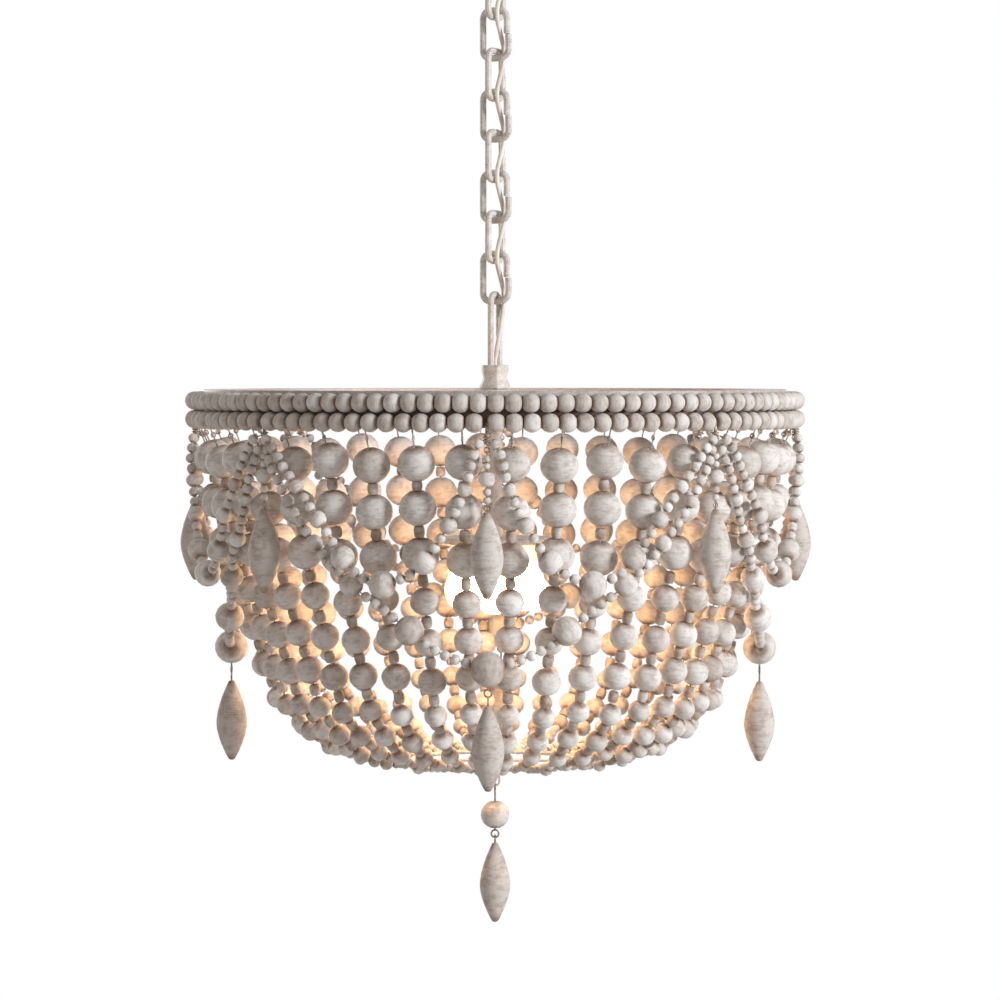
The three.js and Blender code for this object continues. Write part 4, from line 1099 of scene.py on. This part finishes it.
tree.links.new(final.outputs[2], wood_shader.inputs["Base Color"])
tree.links.new(relief.outputs[0], wood_shader.inputs["Normal"])
wood_shader.inputs["Roughness"].default_value = 0.86
wood_shader.inputs["IOR"].default_value = 1.4
print("nodes in the wood", len(tree.nodes))

# %% [markdown]
# ### Limed iron
# The chain, hoop and collar are mild steel under a thin brushed coat of off-white. The coat is rubbed
# through to tan and brown in patches of about 8 mm, with finer specks of 1.5 mm.

# %% Limed iron
RUBBED_PATCH, SPECK = 8, 1.5


def painted_iron(name):
    finish, tree, shader = material(name)
    place = add(tree, "ShaderNodeTexCoord").outputs["Object"]
    broad = add(tree, "ShaderNodeTexNoise", [(place, "Vector")],
                Scale=1 / (RUBBED_PATCH * MM), Detail=4.0, Roughness=0.6)
    fine = add(tree, "ShaderNodeTexNoise", [(place, "Vector")],
               Scale=1 / (SPECK * MM), Detail=3.0, Roughness=0.6)
    speckle = add(tree, "ShaderNodeMath", [(broad, 0), (fine, 1)], operation="ADD")
    rubbed = add(tree, "ShaderNodeMath", [(speckle, 0)], operation="MULTIPLY")
    rubbed.inputs[1].default_value = 0.5
    coat = add(tree, "ShaderNodeValToRGB", [(rubbed, 0)],
               [(0.37, linear("#E1DDD9")), (0.53, linear("#C9C1B9")), (0.72, linear("#86766A"))])
    relief = add(tree, "ShaderNodeBump", [(rubbed, "Height")], Strength=0.35, Distance=0.3 * MM)
    tree.links.new(coat.outputs[0], shader.inputs["Base Color"])
    tree.links.new(relief.outputs[0], shader.inputs["Normal"])
    shader.inputs["Roughness"].default_value = 0.55
    return finish, tree, shader, place, coat


limed_iron = painted_iron("brushed off-white paint on mild steel")[0]
print("paint is rubbed in patches of", RUBBED_PATCH, "mm")

# %% [markdown]
# ### The hoop's finish, with painted shade
# Behind the beads the hoop's outer face is painted dark as shade: the shadow in the deep lines between the
# two rows. Its inner face has a grey painted shade, so the lamps draw no bright line along the far rim. The
# distance from the axis tells the two faces apart, because the hoop is round.

# %% Iron of the hoop
PAINTED_SHADE_FROM, PAINTED_SHADE_BELOW = HOOP_RADIUS - HOOP_EDGE, 4.5
GREY_WITHIN = HOOP_RADIUS - HOOP_WALL + 0.8

hoop_iron, tree, shader, place, coat = painted_iron("off-white paint, bare steel behind the beads")
parts = add(tree, "ShaderNodeSeparateXYZ", [(place, 0)])
level = add(tree, "ShaderNodeCombineXYZ", [(parts.outputs[0], 0), (parts.outputs[1], 1)])
reach = add(tree, "ShaderNodeVectorMath", [(level, 0)], operation="LENGTH").outputs["Value"]
outside = add(tree, "ShaderNodeMath", [(reach, 0)], operation="GREATER_THAN")
outside.inputs[1].default_value = PAINTED_SHADE_FROM * MM
lower = add(tree, "ShaderNodeMath", [(parts.outputs[2], 0)], operation="LESS_THAN")
lower.inputs[1].default_value = HOOP_TOP - PAINTED_SHADE_BELOW * MM
# Mask of the painted shade on the outer face, below the top edge: the shadow in the deep lines between the
# two rows of beads.
shaded = add(tree, "ShaderNodeMath", [(outside, 0), (lower, 1)], operation="MULTIPLY")
dusted = add(tree, "ShaderNodeMix", [(coat, 6)], data_type="RGBA", blend_type="MULTIPLY")
dusted.inputs[0].default_value = 1
dusted.inputs[7].default_value = linear("#DAD5D6")
# Dark brown painted shade where that mask is set.
with_painted_shade = add(tree, "ShaderNodeMix", [(shaded, 0), (dusted.outputs[2], 6)], data_type="RGBA")
with_painted_shade.inputs[7].default_value = linear("#6A5142")
# Grey painted shade on the inner face, so the lamps draw no bright line along the far rim.
inside = add(tree, "ShaderNodeMath", [(reach, 0)], operation="LESS_THAN")
inside.inputs[1].default_value = GREY_WITHIN * MM
inner_painted_shade = add(tree, "ShaderNodeMix", [(inside, 0), (with_painted_shade.outputs[2], 6)], data_type="RGBA")
inner_painted_shade.inputs[7].default_value = linear("#B4AFAE")
tree.links.new(inner_painted_shade.outputs[2], shader.inputs["Base Color"])
print("the hoop is bare from", PAINTED_SHADE_FROM, "mm outwards")

# %% [markdown]
# ### Wire
# The wire is annealed iron, dark and dull in the rings; on the strands and garlands it took the wash of
# the beads and is pale, with brown twists. These finishes and the next ones have two tones that drift
# over the surface, so one function makes them, from the size of the drift in millimetres.

# %% Wire
def mottled(name, drift_size, detail, stops, socket="Base Color"):
    finish, tree, shader = material(name)
    place = add(tree, "ShaderNodeTexCoord").outputs["Object"]
    drift = add(tree, "ShaderNodeTexNoise", [(place, "Vector")], Scale=1 / (drift_size * MM), Detail=detail)
    tones = add(tree, "ShaderNodeValToRGB", [(drift, 0)], [(at, linear(code)) for at, code in stops])
    tree.links.new(tones.outputs[0], shader.inputs[socket])
    return finish, shader


dark_wire, shader = mottled("annealed iron wire", drift_size=2.5, detail=3.0,
                            stops=[(0.35, "#5F5249"), (0.7, "#A2968A")])
shader.inputs["Metallic"].default_value = 0.85
shader.inputs["Roughness"].default_value = 0.42
washed_wire, shader = mottled("iron wire under the wash of the beads", drift_size=4, detail=3.0,
                              stops=[(0.4, "#7C6656"), (0.6, "#C9BDB2")])
shader.inputs["Metallic"].default_value = 0.1
shader.inputs["Roughness"].default_value = 0.65
print("wire finishes:", dark_wire.name, "and", washed_wire.name)

# %% [markdown]
# ### Lead, holders and glass
# The lead has a smooth pale PVC sheath, and the holders are unglazed porcelain. The bulbs are frosted
# inside, so the whole glass glows; the glow is the light that the photograph shows between the beads.

# %% Lead, holders and glass
pale_sheath, shader = mottled("pale PVC lead sheath", drift_size=20, detail=3.0,
                              stops=[(0.35, "#E6DED6"), (0.7, "#D2C6BA")])
shader.inputs["Roughness"].default_value = 0.4
holder_ceramic, shader = mottled("unglazed porcelain lampholder", drift_size=12, detail=3.0,
                                 stops=[(0.35, "#EFE6DA"), (0.7, "#DCCDBB")])
shader.inputs["Roughness"].default_value = 0.5
frosted, shader = mottled("frosted bulb glass, lit", drift_size=14, detail=2.0,
                          stops=[(0.3, "#FFC58A"), (0.7, "#FFD09A")], socket="Emission Color")
shader.inputs["Base Color"].default_value = linear("#FFF1DC")
shader.inputs["Roughness"].default_value = 0.35
shader.inputs["Emission Strength"].default_value = 60
print("bulbs of", frosted.name)

# %% Each piece gets its finish
dressing = [(wooden, limed_wood), (iron, limed_iron), ([hoop], hoop_iron), (washed, washed_wire),
            (wiry, dark_wire), (lead, pale_sheath), (holders, holder_ceramic), (bulbs, frosted)]
for pieces, finish in dressing:
    for piece in pieces:
        piece.data.materials.clear()
        piece.data.materials.append(finish)
print("materials", [m.name for m in bpy.data.materials if m.users])

# %% [markdown]
# ## Room, light and camera
# A pale floor and a pale room, a large soft lamp to the right and a weaker one to the left, as in the
# photograph, and one behind that shows the far side without reaching the near one. The background is
# white, and the floor paler, only for what the camera, gloss and glass see, so that the object is lit at
# a plain level and its shadow stays on the floor.

# %% Floor and room
FLOOR_RADIUS, FLOOR_HEIGHT = 4.5, -2.6


def seen_directly(tree):
    """1 for rays from the camera, gloss and glass, 0 for the rays that light the object."""
    path = add(tree, "ShaderNodeLightPath")
    either = add(tree, "ShaderNodeMath",
                 [(path.outputs["Is Camera Ray"], 0), (path.outputs["Is Glossy Ray"], 1)],
                 operation="MAXIMUM")
    return add(tree, "ShaderNodeMath", [(either, 0), (path.outputs["Is Transmission Ray"], 1)],
               operation="MAXIMUM")


nothing_selected()
bpy.ops.mesh.primitive_circle_add(vertices=96, radius=FLOOR_RADIUS, fill_type="NGON",
                                  location=(0, 0, FLOOR_HEIGHT))
floor = bpy.context.object
floor.name = "floor"
pale, tree, shader = material("matt pale floor")
lift = add(tree, "ShaderNodeMath", [(seen_directly(tree), 0)], operation="MULTIPLY")
lift.inputs[1].default_value = 0.52
tree.links.new(lift.outputs[0], shader.inputs["Emission Strength"])
shader.inputs["Emission Color"].default_value = WHITE
shader.inputs["Base Color"].default_value = linear("#D9D6D3")
shader.inputs["Roughness"].default_value = 0.9
floor.data.materials.append(pale)
floor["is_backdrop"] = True

world = bpy.data.worlds.new("pale room")
bpy.context.scene.world = world
world.use_nodes = True
tree = world.node_tree
background = tree.nodes["Background"]
background.inputs["Color"].default_value = linear("#F4F1EE")
background.inputs["Strength"].default_value = 0.38
seen = add(tree, "ShaderNodeBackground", Color=WHITE, Strength=1.0)
mixed = add(tree, "ShaderNodeMixShader", [(seen_directly(tree), 0), (background, 1), (seen, 2)])
tree.links.new(mixed.outputs[0], tree.nodes["World Output"].inputs["Surface"])
print("floor", -FLOOR_HEIGHT, "m under the ceiling")

# %% Soft lamps
LAMP_AIM = on_axis(180)


def soft_lamp(name, place, size, power, colour):
    data = bpy.data.lights.new(name, "AREA")
    data.shape = "DISK"
    data.size = size
    data.energy = power
    data.color = linear(colour)[:3]
    lamp = put(name, data)
    lamp.location = place
    lamp.rotation_euler = (LAMP_AIM - Vector(place)).to_track_quat("-Z", "Y").to_euler()


soft_lamp("right key", (2.7, -1.7, 0.1), size=1.0, power=102, colour="#F8FBFF")
soft_lamp("left fill", (-2.6, -2.2, -0.4), size=1.6, power=9, colour="#FFF0E2")
soft_lamp("back fill", (-1.9, 2.5, 0.0), size=1.6, power=45, colour="#F6F4F2")
print("lamps", [lamp.name for lamp in bpy.data.lights])

# %% [markdown]
# The camera is 3.2 m away and only 17 mm above the top of the hoop, because the rim is almost a straight
# line in the photograph. It is tilted down a little, to get the whole bowl into the picture.

# %% Camera
DISTANCE, EYE_ABOVE_HOOP = 3.2, 17
CAMERA_AZIMUTH, CAMERA_TILT = math.radians(1.4), math.radians(2.1)
LENS, SENSOR, SIDE_SHIFT = 127.2, 36, 0.005

camera_data = bpy.data.cameras.new("camera")
camera_data.lens = LENS
camera_data.sensor_width = SENSOR
camera_data.shift_x = SIDE_SHIFT
camera = put("camera", camera_data)
camera.location = (DISTANCE * math.sin(CAMERA_AZIMUTH), -DISTANCE * math.cos(CAMERA_AZIMUTH),
                   HOOP_TOP + EYE_ABOVE_HOOP * MM)
camera.rotation_euler = (math.pi / 2 - CAMERA_TILT, 0, CAMERA_AZIMUTH)
bpy.context.scene.camera = camera
bpy.context.scene.view_settings.view_transform = "Standard"
print("camera at", [round(c, 3) for c in camera.location])

# %% Box of the dressed lamp
sizes["dressed"] = [list(c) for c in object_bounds()]
print("dressed box", sizes["dressed"])
